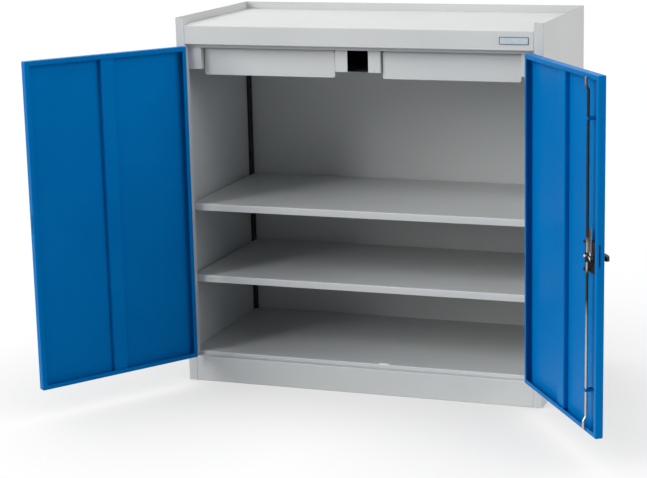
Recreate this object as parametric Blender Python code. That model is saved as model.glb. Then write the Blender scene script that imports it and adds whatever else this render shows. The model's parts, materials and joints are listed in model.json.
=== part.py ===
"""Workshop cabinet of folded sheet steel with two swing doors, two drawers and two shelves.

The origin lies on the ground in the middle of the plinth's bottom flange. +Z is up and the doors face -Y.
Every piece is drawn with the doors shut, the drawers pushed in and the lock thrown. The empties on the
joint axes then swing the doors open and release the lock, which is how the cabinet stands.
"""

import math
from dataclasses import dataclass

import bmesh
import bpy
from mathutils import Vector

# Overall size
WIDTH = 1.000
DEPTH = 0.500
HEIGHT = 1.000

# Sheet metal and clearances
SHEET = 0.0012
DOOR_SHEET = 0.0012
GAP = 0.0003
CUT_OVERRUN = 0.002

# Body folds
STILE = 0.025
STILE_RETURN = 0.025
REAR_RETURN = 0.015
RIM = 0.020
FASCIA = 0.050
RAIL_DROP = 0.010
PLINTH = 0.070
PLINTH_FLANGE = 0.030
FLOOR_STEP = 0.009
FLOOR_LIP = 0.019

# Doors
DOOR_DEPTH = 0.0195
DOOR_LIP = 0.012
DOOR_SIDE_GAP = 0.003
DOOR_CENTRE_GAP = 0.004
DOOR_TOP_GAP = 0.0025
DOOR_BOTTOM_GAP = 0.005
DOOR_SEAT_GAP = 0.001
DOOR_OPEN_ANGLE = math.radians(124.0)
STIFFENER_WIDTH = 0.040
STIFFENER_DEPTH = 0.014
STIFFENER_END_GAP = 0.006

# Barrel hinges
HINGE_RADIUS = 0.0055
HINGE_STAND = 0.0025
HINGE_OFFSET = 0.0025
HINGE_HALF = 0.030
HINGE_MARGIN = 0.110
HINGE_LEAF = 0.018
HINGE_BITE = 0.0008
HINGE_PIN = 0.0028
HINGE_PIN_END = 0.004

# Shelves and their supports
SHELF_DEPTH = 0.019
SHELF_FRONT = 0.028
SHELF_REAR_GAP = 0.004
SHELF_SIDE_GAP = 0.002
RAIL_WIDTH = 0.020
RAIL_DEPTH = 0.0085
RAIL_FRONT = 0.032
SLOT_FIRST = 0.104
SLOT_PITCH = 0.040
SLOT_WIDTH = 0.004
SLOT_HEIGHT = 0.014
LOWER_SHELF_SLOT = 4
UPPER_SHELF_SLOT = 9
CLIP_SHEET = 0.002
CLIP_WIDTH = 0.014
CLIP_REACH = 0.014
CLIP_DROP = 0.006
CLIP_RISE = 0.010
CLIP_HOOK = 0.004

# Drawers and slides
DIVIDER_WIDTH = 0.125
DIVIDER_MOUTH = 0.057
DIVIDER_ROD_CLEAR = 0.001
BRACKET_INSET = 0.037
BRACKET_DROP = 0.009
DRAWER_TOP_GAP = 0.002
DRAWER_RIM = 0.002
DRAWER_SHEET = 0.001
DRAWER_SETBACK = 0.038
DRAWER_FRONT_DEPTH = 0.003
DRAWER_FRONT_DROP = 0.026
DRAWER_FRONT_OVERHANG = 0.010
DRAWER_CORNER = 0.006
SLIDE_HEIGHT = 0.045
SLIDE_SPACE = 0.0127
SLIDE_SHEET = 0.0012
SLIDE_RUN = 0.0004
SLIDE_STAND = 0.003
SLIDE_LIP = 0.0135
SLIDE_REAR_GAP = 0.008
SLIDE_MIDDLE_SETBACK = 0.079

# Lock on the right door
LOCK_HEIGHT = 0.499
LOCK_INSET = 0.058
CASE_WIDTH = 0.068
CASE_HEIGHT = 0.074
CASE_DEPTH = 0.0115
CHEEK_WIDTH = 0.018
CHEEK_HEIGHT = 0.0085
CHEEK_DEPTH = 0.0185
CHEEK_CLEAR = 0.001
SPINDLE = 0.005
SPINDLE_CLEAR = 0.0006
CAM_SHEET = 0.002
CAM_RADIUS = 0.022
TONGUE_WIDTH = 0.019
TONGUE_OUT = 0.010
TONGUE_CLEAR = 0.0015
CRANK = 0.016
CRANK_PIN = 0.0025
CRANK_PIN_LENGTH = 0.0070
CRANK_PIN_CLEAR = 0.0004
ROD_RADIUS = 0.0035
ROD_STAND = 0.0023
ROD_STEP = 0.0061
ROD_BEND = 0.010
ROD_TIP = 0.020
ROD_TIP_CLEAR = 0.0013
ROD_FOOT_CLEAR = 0.0043
ROD_SLOT_WIDTH = 0.030
ROD_SLOT_CLEAR = 0.001
ROD_EYE_SHEET = 0.002
ROD_EYE_WALL = 0.003
ROD_EYE_LAP = 0.0024
ROD_EYE_STAND = 0.0012
ROD_EYE_STEP = 0.0024
GUIDE_MARGIN = 0.104
GUIDE_WIDTH = 0.014
GUIDE_HEIGHT = 0.006
GUIDE_WALL = 0.002
GUIDE_CLEAR = 0.0005
ROSE_RADIUS = 0.021
ROSE_DEPTH = 0.004
HANDLE_RADIUS = 0.017
HANDLE_HUB = 0.0075
HANDLE_LENGTH = 0.064
HANDLE_DROP = 0.010
HANDLE_WIDTH = 0.014
HANDLE_DEPTH = 0.026
HANDLE_CROWN = 0.0065
HANDLE_SOCKET = 0.006

# Label holder on the fascia
LABEL_WIDTH = 0.076
LABEL_HEIGHT = 0.0195
LABEL_DEPTH = 0.0014
LABEL_RECESS = 0.0006
LABEL_FRAME = 0.0018
LABEL_INSET = 0.051

# Facets on round shapes
SMOOTH_ANGLE = math.radians(25.0)
BARREL_SIDES = 20
ROD_SIDES = 12
DISC_SIDES = 32
CORNER_STEPS = 4

# Places worked out from the sizes above
FRONT = -PLINTH_FLANGE / 2
BACK = FRONT + DEPTH
HALF = WIDTH / 2
WALL_IN = HALF - SHEET
STILE_IN = HALF - STILE
BACK_OUT = BACK - SHEET - GAP
BACK_IN = BACK_OUT - SHEET
TOP = HEIGHT - RIM
OPENING_TOP = TOP - FASCIA
RAIL_BOTTOM = OPENING_TOP - RAIL_DROP
FLOOR_TOP = PLINTH + FLOOR_STEP
REBATE = FRONT + DOOR_DEPTH + DOOR_SEAT_GAP
CORNER_NOTCH = max(FRONT + STILE_RETURN, REBATE + SHEET) + GAP
DOOR_EDGE = STILE_IN - DOOR_SIDE_GAP
DOOR_FREE = DOOR_CENTRE_GAP / 2
DOOR_BOTTOM = PLINTH + DOOR_BOTTOM_GAP
DOOR_TOP = OPENING_TOP - DOOR_TOP_GAP
DOOR_INSIDE = FRONT + DOOR_SHEET + GAP
HINGE_X = STILE_IN + HINGE_OFFSET
HINGE_Y = FRONT - HINGE_RADIUS - HINGE_STAND
FRAME_FRONT = REBATE + SHEET + GAP
FRAME_REAR = BACK_IN - GAP
FRAME_TOP = TOP - SHEET - GAP
DRAWER_TOP = RAIL_BOTTOM - DRAWER_TOP_GAP
SLIDE_BOTTOM = DRAWER_TOP - DRAWER_RIM - SLIDE_HEIGHT
FRAME_BOTTOM = SLIDE_BOTTOM - BRACKET_DROP
DIVIDER_FACE = DIVIDER_WIDTH / 2
BRACKET_FACE = STILE_IN - BRACKET_INSET
DRAWER_NEAR = DIVIDER_FACE + SLIDE_SPACE
DRAWER_FAR = BRACKET_FACE - SLIDE_SPACE
DRAWER_FRONT = FRONT + DRAWER_SETBACK
DRAWER_BOX_FRONT = DRAWER_FRONT + DRAWER_FRONT_DEPTH + GAP
SLIDE_MIDDLE_FRONT = DRAWER_BOX_FRONT + SLIDE_MIDDLE_SETBACK
SLIDE_REAR = BACK - SLIDE_REAR_GAP
RAIL_FACE = WALL_IN - GAP - RAIL_DEPTH
SHELF_HALF = RAIL_FACE - SHELF_SIDE_GAP
RAIL_FOOT = FLOOR_TOP + GAP
RAIL_HEAD = FRAME_BOTTOM - GAP
LOCK_X = DOOR_FREE + LOCK_INSET
CAM_BACK = FRONT + CASE_DEPTH + GAP
CAM_FACE = CAM_BACK + CAM_SHEET
ROD_Y = CAM_FACE + ROD_STAND + ROD_RADIUS
ROD_TIP_Y = ROD_Y + ROD_STEP
DIVIDER_FRONT = ROD_TIP_Y + ROD_RADIUS + DIVIDER_ROD_CLEAR
ROD_HEAD = RAIL_BOTTOM - ROD_TIP_CLEAR + CRANK
ROD_FOOT = FLOOR_TOP + ROD_FOOT_CLEAR - CRANK

SIDES = {"left": -1, "right": 1}
X_AXIS = Vector((1.0, 0.0, 0.0))


@dataclass(frozen=True)
class Finish:
    """Colour and surface of a material."""

    name: str
    colour: tuple
    roughness: float
    metallic: float


@dataclass(frozen=True)
class Pivot:
    """Empty on a joint axis, with the point where it stands in the drawn pose."""

    empty: bpy.types.Object
    origin: Vector


GREY_PAINT = Finish("light_grey_paint", (0.54, 0.56, 0.56), 0.45, 0.0)
BLUE_PAINT = Finish("blue_paint", (0.0, 0.15, 0.42), 0.40, 0.0)
ZINC = Finish("zinc_plated_steel", (0.62, 0.63, 0.65), 0.32, 1.0)
BLACK_PLASTIC = Finish("black_plastic", (0.012, 0.012, 0.013), 0.50, 0.0)
LABEL_PLASTIC = Finish("label_plastic", (0.66, 0.72, 0.78), 0.40, 0.0)


def clear_scene():
    """Remove every object, so the cabinet stands alone."""
    for item in list(bpy.data.objects):
        bpy.data.objects.remove(item, do_unlink=True)


def material(finish):
    """Material of a finish, made once."""
    found = bpy.data.materials.get(finish.name)
    if found:
        return found
    made = bpy.data.materials.new(finish.name)
    made.use_nodes = True
    shader = made.node_tree.nodes["Principled BSDF"]
    shader.inputs["Base Color"].default_value = (*finish.colour, 1.0)
    shader.inputs["Roughness"].default_value = finish.roughness
    shader.inputs["Metallic"].default_value = finish.metallic
    return made


def box(low, high):
    """Solid box between two opposite corners, given in any order."""
    solid = bmesh.new()
    bmesh.ops.create_cube(solid, size=1.0)
    low, high = Vector(low), Vector(high)
    size = Vector([abs(b - a) for a, b in zip(low, high)])
    bmesh.ops.scale(solid, vec=size, verts=solid.verts)
    bmesh.ops.translate(solid, vec=(low + high) / 2, verts=solid.verts)
    return solid


def prism(outline, axis, low, high):
    """Solid of a flat outline pushed along an axis.

    The outline's points hold the two other coordinates in x, y, z order.
    """
    index = "xyz".index(axis)
    solid = bmesh.new()
    ends = []
    for level in (low, high):
        corners = []
        for point in outline:
            place = list(point)
            place.insert(index, level)
            corners.append(solid.verts.new(place))
        ends.append(corners)
    count = len(outline)
    for here in range(count):
        following = (here + 1) % count
        solid.faces.new((ends[0][here], ends[0][following], ends[1][following], ends[1][here]))
    for corners in ends:
        solid.faces.new(corners)
    bmesh.ops.recalc_face_normals(solid, faces=solid.faces)
    return solid


def cylinder(centre, axis, low, high, radius, sides):
    """Round bar along an axis; the centre holds the two other coordinates in x, y, z order."""
    turns = [2 * math.pi * step / sides for step in range(sides)]
    outline = [(centre[0] + radius * math.cos(t), centre[1] + radius * math.sin(t)) for t in turns]
    return prism(outline, axis, low, high)


def rounded_outline(low, high, radius):
    """Rectangle between two flat corners, with its corners rounded."""
    centres = (
        (high[0] - radius, high[1] - radius, 0),
        (low[0] + radius, high[1] - radius, 1),
        (low[0] + radius, low[1] + radius, 2),
        (high[0] - radius, low[1] + radius, 3),
    )
    outline = []
    for across, up, quarter in centres:
        for step in range(CORNER_STEPS + 1):
            turn = (quarter + step / CORNER_STEPS) * math.pi / 2
            outline.append((across + radius * math.cos(turn), up + radius * math.sin(turn)))
    return outline


def bent_rod(path, radius):
    """Round rod along a path in an x plane, with mitred bends and square ends."""
    solid = bmesh.new()
    rings = []
    runs = [(after - before).normalized() for before, after in zip(path, path[1:])]
    for point, behind, ahead in zip(path, runs[:1] + runs, runs + runs[-1:]):
        heading = (behind + ahead).normalized()
        over = heading.cross(X_AXIS) / heading.dot(behind)
        ring = []
        for step in range(ROD_SIDES):
            turn = 2 * math.pi * step / ROD_SIDES
            ring.append(solid.verts.new(point + radius * (X_AXIS * math.cos(turn) + over * math.sin(turn))))
        rings.append(ring)
    for lower, upper in zip(rings, rings[1:]):
        for here in range(ROD_SIDES):
            following = (here + 1) % ROD_SIDES
            solid.faces.new((lower[here], lower[following], upper[following], upper[here]))
    solid.faces.new(rings[0])
    solid.faces.new(rings[-1])
    bmesh.ops.recalc_face_normals(solid, faces=solid.faces)
    return solid


def loose_object(solid):
    """Scene object that holds a solid for a Boolean."""
    mesh = bpy.data.meshes.new("loose")
    solid.to_mesh(mesh)
    solid.free()
    item = bpy.data.objects.new("loose", mesh)
    bpy.context.scene.collection.objects.link(item)
    return item


def combine(body, others, operation):
    """Body after a Boolean with each of the other solids in turn."""
    target = loose_object(body)
    tools = [loose_object(other) for other in others]
    for tool in tools:
        modifier = target.modifiers.new("combine", "BOOLEAN")
        modifier.operation = operation
        modifier.solver = "EXACT"
        modifier.object = tool
    result = bmesh.new()
    result.from_object(target, bpy.context.evaluated_depsgraph_get())
    for item in (target, *tools):
        bpy.data.objects.remove(item, do_unlink=True)
    return result


def cut(body, *others):
    """Body with the other solids taken out of it."""
    return combine(body, others, "DIFFERENCE")


def join(body, *others):
    """Body and the other solids as one."""
    return combine(body, others, "UNION")


def pivot(name, origin, parent=None, turn=(0.0, 0.0, 0.0), shift=(0.0, 0.0, 0.0)):
    """Empty on a joint axis, turned or shifted from the drawn pose into the standing pose."""
    empty = bpy.data.objects.new(name, None)
    bpy.context.scene.collection.objects.link(empty)
    origin = Vector(origin)
    base = parent.origin if parent else Vector()
    empty.parent = parent.empty if parent else None
    empty.location = origin - base + Vector(shift)
    empty.rotation_euler = turn
    return Pivot(empty, origin)


def piece(name, solid, finish, carrier=None):
    """Named piece of the cabinet, carried by a pivot or by the ground."""
    if carrier:
        bmesh.ops.translate(solid, vec=-carrier.origin, verts=solid.verts)
    mesh = bpy.data.meshes.new(name)
    solid.to_mesh(mesh)
    solid.free()
    mesh.materials.append(material(finish))
    mesh.shade_smooth()
    mesh.set_sharp_from_angle(angle=SMOOTH_ANGLE)
    item = bpy.data.objects.new(name, mesh)
    bpy.context.scene.collection.objects.link(item)
    if carrier:
        item.parent = carrier.empty
    return item


def open_pan(low, high, sheet, open_side):
    """Box of sheet metal with its "bottom" or its "top" left open."""
    low, high = Vector(low), Vector(high)
    inner_low = low + Vector((sheet, sheet, sheet))
    inner_high = high - Vector((sheet, sheet, sheet))
    if open_side == "bottom":
        inner_low.z = low.z - CUT_OVERRUN
    else:
        inner_high.z = high.z + CUT_OVERRUN
    return cut(box(low, high), box(inner_low, inner_high))


def corner_notches(bottom, top):
    """Cutters that clear the two stiles at the front corners of a wide panel."""
    notches = []
    for side in SIDES.values():
        low = (side * (STILE_IN - GAP), FRONT - CUT_OVERRUN, bottom)
        high = (side * (HALF + CUT_OVERRUN), CORNER_NOTCH, top)
        notches.append(box(low, high))
    return notches


def side_panel(side):
    """Side wall with its front stile and rear return, one folded sheet."""
    stile_end = FRONT + STILE_RETURN
    outline = [
        (HALF, FRONT),
        (STILE_IN, FRONT),
        (STILE_IN, stile_end),
        (STILE_IN + SHEET, stile_end),
        (STILE_IN + SHEET, FRONT + SHEET),
        (WALL_IN, FRONT + SHEET),
        (WALL_IN, BACK - SHEET),
        (HALF - REAR_RETURN, BACK - SHEET),
        (HALF - REAR_RETURN, BACK),
        (HALF, BACK),
    ]
    return prism([(side * x, y) for x, y in outline], "z", 0.0, HEIGHT)


def back_panel():
    """Flat back between the side walls, rising above the top as the rear rim."""
    reach = WALL_IN - GAP
    return box((-reach, BACK_IN, 0.0), (reach, BACK_OUT, HEIGHT))


def top_tray():
    """Top surface, fascia, under-return and recessed rail, one folded sheet."""
    outline = [
        (FRONT, TOP),
        (BACK_IN - GAP, TOP),
        (BACK_IN - GAP, TOP - SHEET),
        (FRONT + SHEET, TOP - SHEET),
        (FRONT + SHEET, OPENING_TOP + SHEET),
        (REBATE + SHEET, OPENING_TOP + SHEET),
        (REBATE + SHEET, RAIL_BOTTOM),
        (REBATE, RAIL_BOTTOM),
        (REBATE, OPENING_TOP),
        (FRONT, OPENING_TOP),
    ]
    reach = WALL_IN - GAP
    sheet = prism(outline, "x", -reach, reach)
    return cut(sheet, *corner_notches(RAIL_BOTTOM - CUT_OVERRUN, TOP + CUT_OVERRUN))


def plinth():
    """Plinth front with its ledge behind the doors and its bottom flange."""
    ledge_end = REBATE - GAP
    outline = [
        (FRONT, 0.0),
        (FRONT, PLINTH),
        (ledge_end, PLINTH),
        (ledge_end, PLINTH - SHEET),
        (FRONT + SHEET, PLINTH - SHEET),
        (FRONT + SHEET, SHEET),
        (FRONT + PLINTH_FLANGE, SHEET),
        (FRONT + PLINTH_FLANGE, 0.0),
    ]
    reach = STILE_IN - GAP
    return prism(outline, "x", -reach, reach)


def floor_panel():
    """Floor pan with its front lip and the slot for the lower rod."""
    reach = WALL_IN - GAP
    bottom = FLOOR_TOP - FLOOR_LIP
    pan = open_pan((-reach, REBATE, bottom), (reach, BACK_IN - GAP, FLOOR_TOP), SHEET, "bottom")
    slot_low = (LOCK_X - ROD_SLOT_WIDTH / 2, REBATE + SHEET, FLOOR_TOP - SHEET - CUT_OVERRUN)
    slot_rear = ROD_TIP_Y + ROD_RADIUS + ROD_SLOT_CLEAR
    slot_high = (LOCK_X + ROD_SLOT_WIDTH / 2, slot_rear, FLOOR_TOP + CUT_OVERRUN)
    notches = corner_notches(bottom - CUT_OVERRUN, FLOOR_TOP + CUT_OVERRUN)
    return cut(pan, *notches, box(slot_low, slot_high))


def slot_height(number):
    """Height of the lower edge of a rail slot."""
    return SLOT_FIRST + number * SLOT_PITCH


def shelf_bottom(number):
    """Height of the underside of a shelf hooked at a slot."""
    return slot_height(number) + CLIP_RISE + GAP


def shelf(number):
    """Folded shelf pan that rests on four clips."""
    low = (-SHELF_HALF, FRONT + SHELF_FRONT, shelf_bottom(number))
    high = (SHELF_HALF, BACK_IN - SHELF_REAR_GAP, shelf_bottom(number) + SHELF_DEPTH)
    return open_pan(low, high, SHEET, "bottom")


def rail_middles():
    """Y of the middle of the front and rear rails."""
    return {
        "front": FRONT + RAIL_FRONT + RAIL_WIDTH / 2,
        "rear": FRAME_REAR - RAIL_WIDTH / 2,
    }


def shelf_rail(side, middle):
    """Slotted channel on the side wall."""
    near = middle - RAIL_WIDTH / 2
    far = middle + RAIL_WIDTH / 2
    wall = WALL_IN - GAP
    outline = [
        (wall, near),
        (RAIL_FACE, near),
        (RAIL_FACE, far),
        (wall, far),
        (wall, far - SHEET),
        (RAIL_FACE + SHEET, far - SHEET),
        (RAIL_FACE + SHEET, near + SHEET),
        (wall, near + SHEET),
    ]
    channel = prism([(side * x, y) for x, y in outline], "z", RAIL_FOOT, RAIL_HEAD)
    count = int((RAIL_HEAD - SLOT_HEIGHT - SLOT_FIRST) / SLOT_PITCH) + 1
    slots = []
    for number in range(count):
        foot = slot_height(number)
        low = (side * (RAIL_FACE - CUT_OVERRUN), middle - SLOT_WIDTH / 2, foot)
        high = (side * (RAIL_FACE + SHEET + CUT_OVERRUN), middle + SLOT_WIDTH / 2, foot + SLOT_HEIGHT)
        slots.append(box(low, high))
    return cut(channel, *slots)


def shelf_clip(side, middle, number):
    """Bent clip with a hook in a rail slot and a ledge under the shelf."""
    face = RAIL_FACE - GAP
    foot = slot_height(number) - CLIP_DROP
    ledge = slot_height(number) + CLIP_RISE
    outline = [
        (face, foot),
        (face, ledge),
        (face - CLIP_REACH, ledge),
        (face - CLIP_REACH, ledge - CLIP_SHEET),
        (face - CLIP_SHEET, ledge - CLIP_SHEET),
        (face - CLIP_SHEET, foot),
    ]
    near = middle - CLIP_WIDTH / 2
    plate = prism([(side * x, z) for x, z in outline], "y", near, near + CLIP_WIDTH)
    hook_half = SLOT_WIDTH / 2 - GAP
    hook_low = (side * (face - CLIP_SHEET / 2), middle - hook_half, slot_height(number) + GAP)
    hook_high = (side * (face + CLIP_HOOK), middle + hook_half, slot_height(number) + SLOT_HEIGHT / 2)
    return join(plate, box(hook_low, hook_high))


def drawer_divider():
    """Box section between the drawers, open at its top and at its front mouth between two flanges."""
    mouth = DIVIDER_MOUTH / 2
    low = (-DIVIDER_FACE, DIVIDER_FRONT, FRAME_BOTTOM)
    high = (DIVIDER_FACE, FRAME_REAR, FRAME_TOP)
    mouth_low = (-mouth, DIVIDER_FRONT - CUT_OVERRUN, FRAME_BOTTOM - CUT_OVERRUN)
    mouth_high = (mouth, DIVIDER_FRONT + SHEET + CUT_OVERRUN, FRAME_TOP + CUT_OVERRUN)
    return cut(open_pan(low, high, SHEET, "top"), box(mouth_low, mouth_high))


def slide_bracket(side):
    """Sheet bracket that carries a drawer slide beside the wall."""
    face = BRACKET_FACE
    outline = [
        (STILE_IN - GAP, FRAME_FRONT),
        (face, FRAME_FRONT),
        (face, FRAME_REAR),
        (WALL_IN - GAP, FRAME_REAR),
        (WALL_IN - GAP, FRAME_REAR - SHEET),
        (face + SHEET, FRAME_REAR - SHEET),
        (face + SHEET, FRAME_FRONT + SHEET),
        (STILE_IN - GAP, FRAME_FRONT + SHEET),
    ]
    return prism([(side * x, y) for x, y in outline], "z", FRAME_BOTTOM, FRAME_TOP)


def slide_channel(base, tip, half, lip=0.0):
    """Profile of a slide member: a web at base, flanges that reach to tip and lips that fold inward."""
    inward = math.copysign(SLIDE_SHEET, tip - base)
    inner = half - SLIDE_SHEET
    profile = [(base, -half), (tip, -half)]
    if lip:
        profile += [(tip, lip - half), (tip - inward, lip - half), (tip - inward, -inner)]
    else:
        profile += [(tip, -inner)]
    profile += [(base + inward, -inner)]
    return profile + [(u, -v) for u, v in reversed(profile)]


def slide_members(mount, toward):
    """Fixed, middle and drawer members of one telescopic slide.

    The drawer member's lips hold the middle member, and the fixed member runs between those lips.
    """
    drawer_half = SLIDE_HEIGHT / 2
    middle_half = drawer_half - SLIDE_SHEET - SLIDE_RUN
    fixed_half = drawer_half - SLIDE_LIP - SLIDE_RUN
    drawer_base = SLIDE_SPACE - GAP
    middle_base = SLIDE_STAND + SLIDE_SHEET + SLIDE_RUN
    middle_tip = drawer_base - SLIDE_SHEET - SLIDE_RUN
    fixed_tip = middle_base - SLIDE_RUN
    profiles = {
        "fixed": (slide_channel(GAP, fixed_tip, fixed_half), DRAWER_BOX_FRONT),
        "middle": (slide_channel(middle_base, middle_tip, middle_half), SLIDE_MIDDLE_FRONT),
        "drawer": (slide_channel(drawer_base, SLIDE_STAND, drawer_half, SLIDE_LIP), DRAWER_BOX_FRONT),
    }
    height = SLIDE_BOTTOM + SLIDE_HEIGHT / 2
    members = {}
    for member, (profile, front) in profiles.items():
        outline = [(mount + toward * u, height + v) for u, v in profile]
        members[member] = prism(outline, "y", front, SLIDE_REAR)
    return members


def drawer_box(side):
    """Drawer tray behind the front."""
    left, right = sorted((side * DRAWER_NEAR, side * DRAWER_FAR))
    low = (left, DRAWER_BOX_FRONT, SLIDE_BOTTOM)
    high = (right, SLIDE_REAR, DRAWER_TOP)
    return open_pan(low, high, DRAWER_SHEET, "top")


def drawer_front(side):
    """Plain drawer front with rounded corners, folded back all round."""
    bottom = SLIDE_BOTTOM - DRAWER_FRONT_DROP
    near = DRAWER_NEAR - DRAWER_FRONT_OVERHANG
    far = DRAWER_FAR + DRAWER_FRONT_OVERHANG
    left, right = sorted((side * near, side * far))
    outer = rounded_outline((left, bottom), (right, DRAWER_TOP), DRAWER_CORNER)
    inner_low = (left + DRAWER_SHEET, bottom + DRAWER_SHEET)
    inner_high = (right - DRAWER_SHEET, DRAWER_TOP - DRAWER_SHEET)
    inner = rounded_outline(inner_low, inner_high, DRAWER_CORNER - DRAWER_SHEET)
    rear = DRAWER_FRONT + DRAWER_FRONT_DEPTH
    hollow = prism(inner, "y", DRAWER_FRONT + DRAWER_SHEET, rear + CUT_OVERRUN)
    return cut(prism(outer, "y", DRAWER_FRONT, rear), hollow)


def tongue_slot(side):
    """Cutter for the tongue's slot in a door's free edge, tall enough for the tongue's swing."""
    half = TONGUE_WIDTH / 2
    reach = math.hypot(LOCK_INSET + TONGUE_OUT, half)
    rise = math.sqrt(reach ** 2 - (LOCK_INSET - DOOR_SHEET) ** 2)
    near = side * (DOOR_FREE - CUT_OVERRUN)
    far = side * (DOOR_FREE + DOOR_SHEET + CUT_OVERRUN)
    low = (near, CAM_BACK - TONGUE_CLEAR / 2, LOCK_HEIGHT - half - TONGUE_CLEAR)
    high = (far, CAM_FACE + TONGUE_CLEAR / 2, LOCK_HEIGHT + rise + TONGUE_CLEAR)
    return box(low, high)


def spindle_bore(low, high, clearance=SPINDLE_CLEAR):
    """Cutter for the spindle's hole between two depths."""
    return cylinder((LOCK_X, LOCK_HEIGHT), "y", low, high, SPINDLE + clearance, BARREL_SIDES)


def door(side):
    """Door leaf: a pan with return lips all round, slotted for the lock's tongue."""
    left, right = sorted((side * DOOR_FREE, side * DOOR_EDGE))
    rear = FRONT + DOOR_DEPTH
    leaf = box((left, FRONT, DOOR_BOTTOM), (right, rear, DOOR_TOP))
    cavity_low = (left + DOOR_SHEET, FRONT + DOOR_SHEET, DOOR_BOTTOM + DOOR_SHEET)
    cavity_high = (right - DOOR_SHEET, rear - DOOR_SHEET, DOOR_TOP - DOOR_SHEET)
    mouth_low = (left + DOOR_LIP, rear - DOOR_SHEET - CUT_OVERRUN, DOOR_BOTTOM + DOOR_LIP)
    mouth_high = (right - DOOR_LIP, rear + CUT_OVERRUN, DOOR_TOP - DOOR_LIP)
    leaf = cut(leaf, join(box(cavity_low, cavity_high), box(mouth_low, mouth_high)), tongue_slot(side))
    if side == SIDES["right"]:
        leaf = cut(leaf, spindle_bore(FRONT - CUT_OVERRUN, DOOR_INSIDE + CUT_OVERRUN))
    return leaf


def door_stiffener(side):
    """Channel down the middle of a door leaf, open at both ends."""
    middle = (DOOR_FREE + DOOR_EDGE) / 2
    near = middle - STIFFENER_WIDTH / 2
    far = middle + STIFFENER_WIDTH / 2
    crest = FRONT + STIFFENER_DEPTH
    outline = [
        (near, DOOR_INSIDE),
        (near, crest),
        (far, crest),
        (far, DOOR_INSIDE),
        (far - SHEET, DOOR_INSIDE),
        (far - SHEET, crest - SHEET),
        (near + SHEET, crest - SHEET),
        (near + SHEET, DOOR_INSIDE),
    ]
    low = DOOR_BOTTOM + DOOR_SHEET + STIFFENER_END_GAP
    high = DOOR_TOP - DOOR_SHEET - STIFFENER_END_GAP
    return prism([(side * x, y) for x, y in outline], "z", low, high)


def hinge_leaf(side, toward, low, high):
    """Flat leaf of a hinge, on the stile or on the door's face."""
    near = HINGE_Y + HINGE_RADIUS - HINGE_BITE
    return box((side * HINGE_X, near, low), (side * (HINGE_X + toward * HINGE_LEAF), FRONT - GAP, high))


def fixed_hinge(side, height):
    """Lower half of a barrel hinge on the stile, with its pin."""
    low = height - HINGE_HALF
    high = height - GAP / 2
    barrel = cylinder((side * HINGE_X, HINGE_Y), "z", low, high, HINGE_RADIUS, BARREL_SIDES)
    pin_top = height + HINGE_HALF - HINGE_PIN_END
    pin = cylinder((side * HINGE_X, HINGE_Y), "z", high - CUT_OVERRUN, pin_top, HINGE_PIN, BARREL_SIDES)
    return join(barrel, hinge_leaf(side, 1, low, high), pin)


def door_hinge(side, height):
    """Upper half of a barrel hinge on the door, bored for the pin."""
    low = height + GAP / 2
    high = height + HINGE_HALF
    barrel = cylinder((side * HINGE_X, HINGE_Y), "z", low, high, HINGE_RADIUS, BARREL_SIDES)
    bore_foot = low - CUT_OVERRUN
    bore_head = high - HINGE_PIN_END + GAP
    bore = cylinder((side * HINGE_X, HINGE_Y), "z", bore_foot, bore_head, HINGE_PIN + GAP, BARREL_SIDES)
    return cut(join(barrel, hinge_leaf(side, -1, low, high)), bore)


def lock_case():
    """Lock case on the inside of the right door, bored for the spindle, with a cheek beside each rod."""
    half = CASE_HEIGHT / 2
    low = (LOCK_X - CASE_WIDTH / 2, DOOR_INSIDE, LOCK_HEIGHT - half)
    high = (LOCK_X + CASE_WIDTH / 2, FRONT + CASE_DEPTH, LOCK_HEIGHT + half)
    near = LOCK_X + TONGUE_WIDTH / 2 + CHEEK_CLEAR
    cheeks = []
    for sign in (1, -1):
        foot = (near, FRONT + CASE_DEPTH - CUT_OVERRUN, LOCK_HEIGHT + sign * (half - CHEEK_HEIGHT))
        head = (near + CHEEK_WIDTH, FRONT + CHEEK_DEPTH, LOCK_HEIGHT + sign * half)
        cheeks.append(box(foot, head))
    return cut(join(box(low, high), *cheeks), spindle_bore(FRONT - CUT_OVERRUN, CAM_FACE))


def lock_cam():
    """Cam plate on the spindle, with two crank pins for the rods and the tongue to the free edge."""
    disc = cylinder((LOCK_X, LOCK_HEIGHT), "y", CAM_BACK, CAM_FACE, CAM_RADIUS, DISC_SIDES)
    tip = DOOR_FREE - TONGUE_OUT
    half = TONGUE_WIDTH / 2
    tongue = box((tip, CAM_BACK, LOCK_HEIGHT - half), (LOCK_X, CAM_FACE, LOCK_HEIGHT + half))
    inside = CAM_BACK + CAM_SHEET / 2
    outer_end = FRONT - GAP - ROSE_DEPTH - HANDLE_SOCKET
    spindle = cylinder((LOCK_X, LOCK_HEIGHT), "y", outer_end, inside, SPINDLE, BARREL_SIDES)
    pins = []
    for rise in (CRANK, -CRANK):
        centre = (LOCK_X, LOCK_HEIGHT + rise)
        pins.append(cylinder(centre, "y", inside, CAM_FACE + CRANK_PIN_LENGTH, CRANK_PIN, ROD_SIDES))
    return join(disc, tongue, spindle, *pins)


def crank_bulge():
    """How far a crank pin rises above a rod that moves in step with the turn."""
    turn = math.asin(2 / math.pi)
    return CRANK * (math.cos(turn) - 1 + turn / (math.pi / 2))


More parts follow.
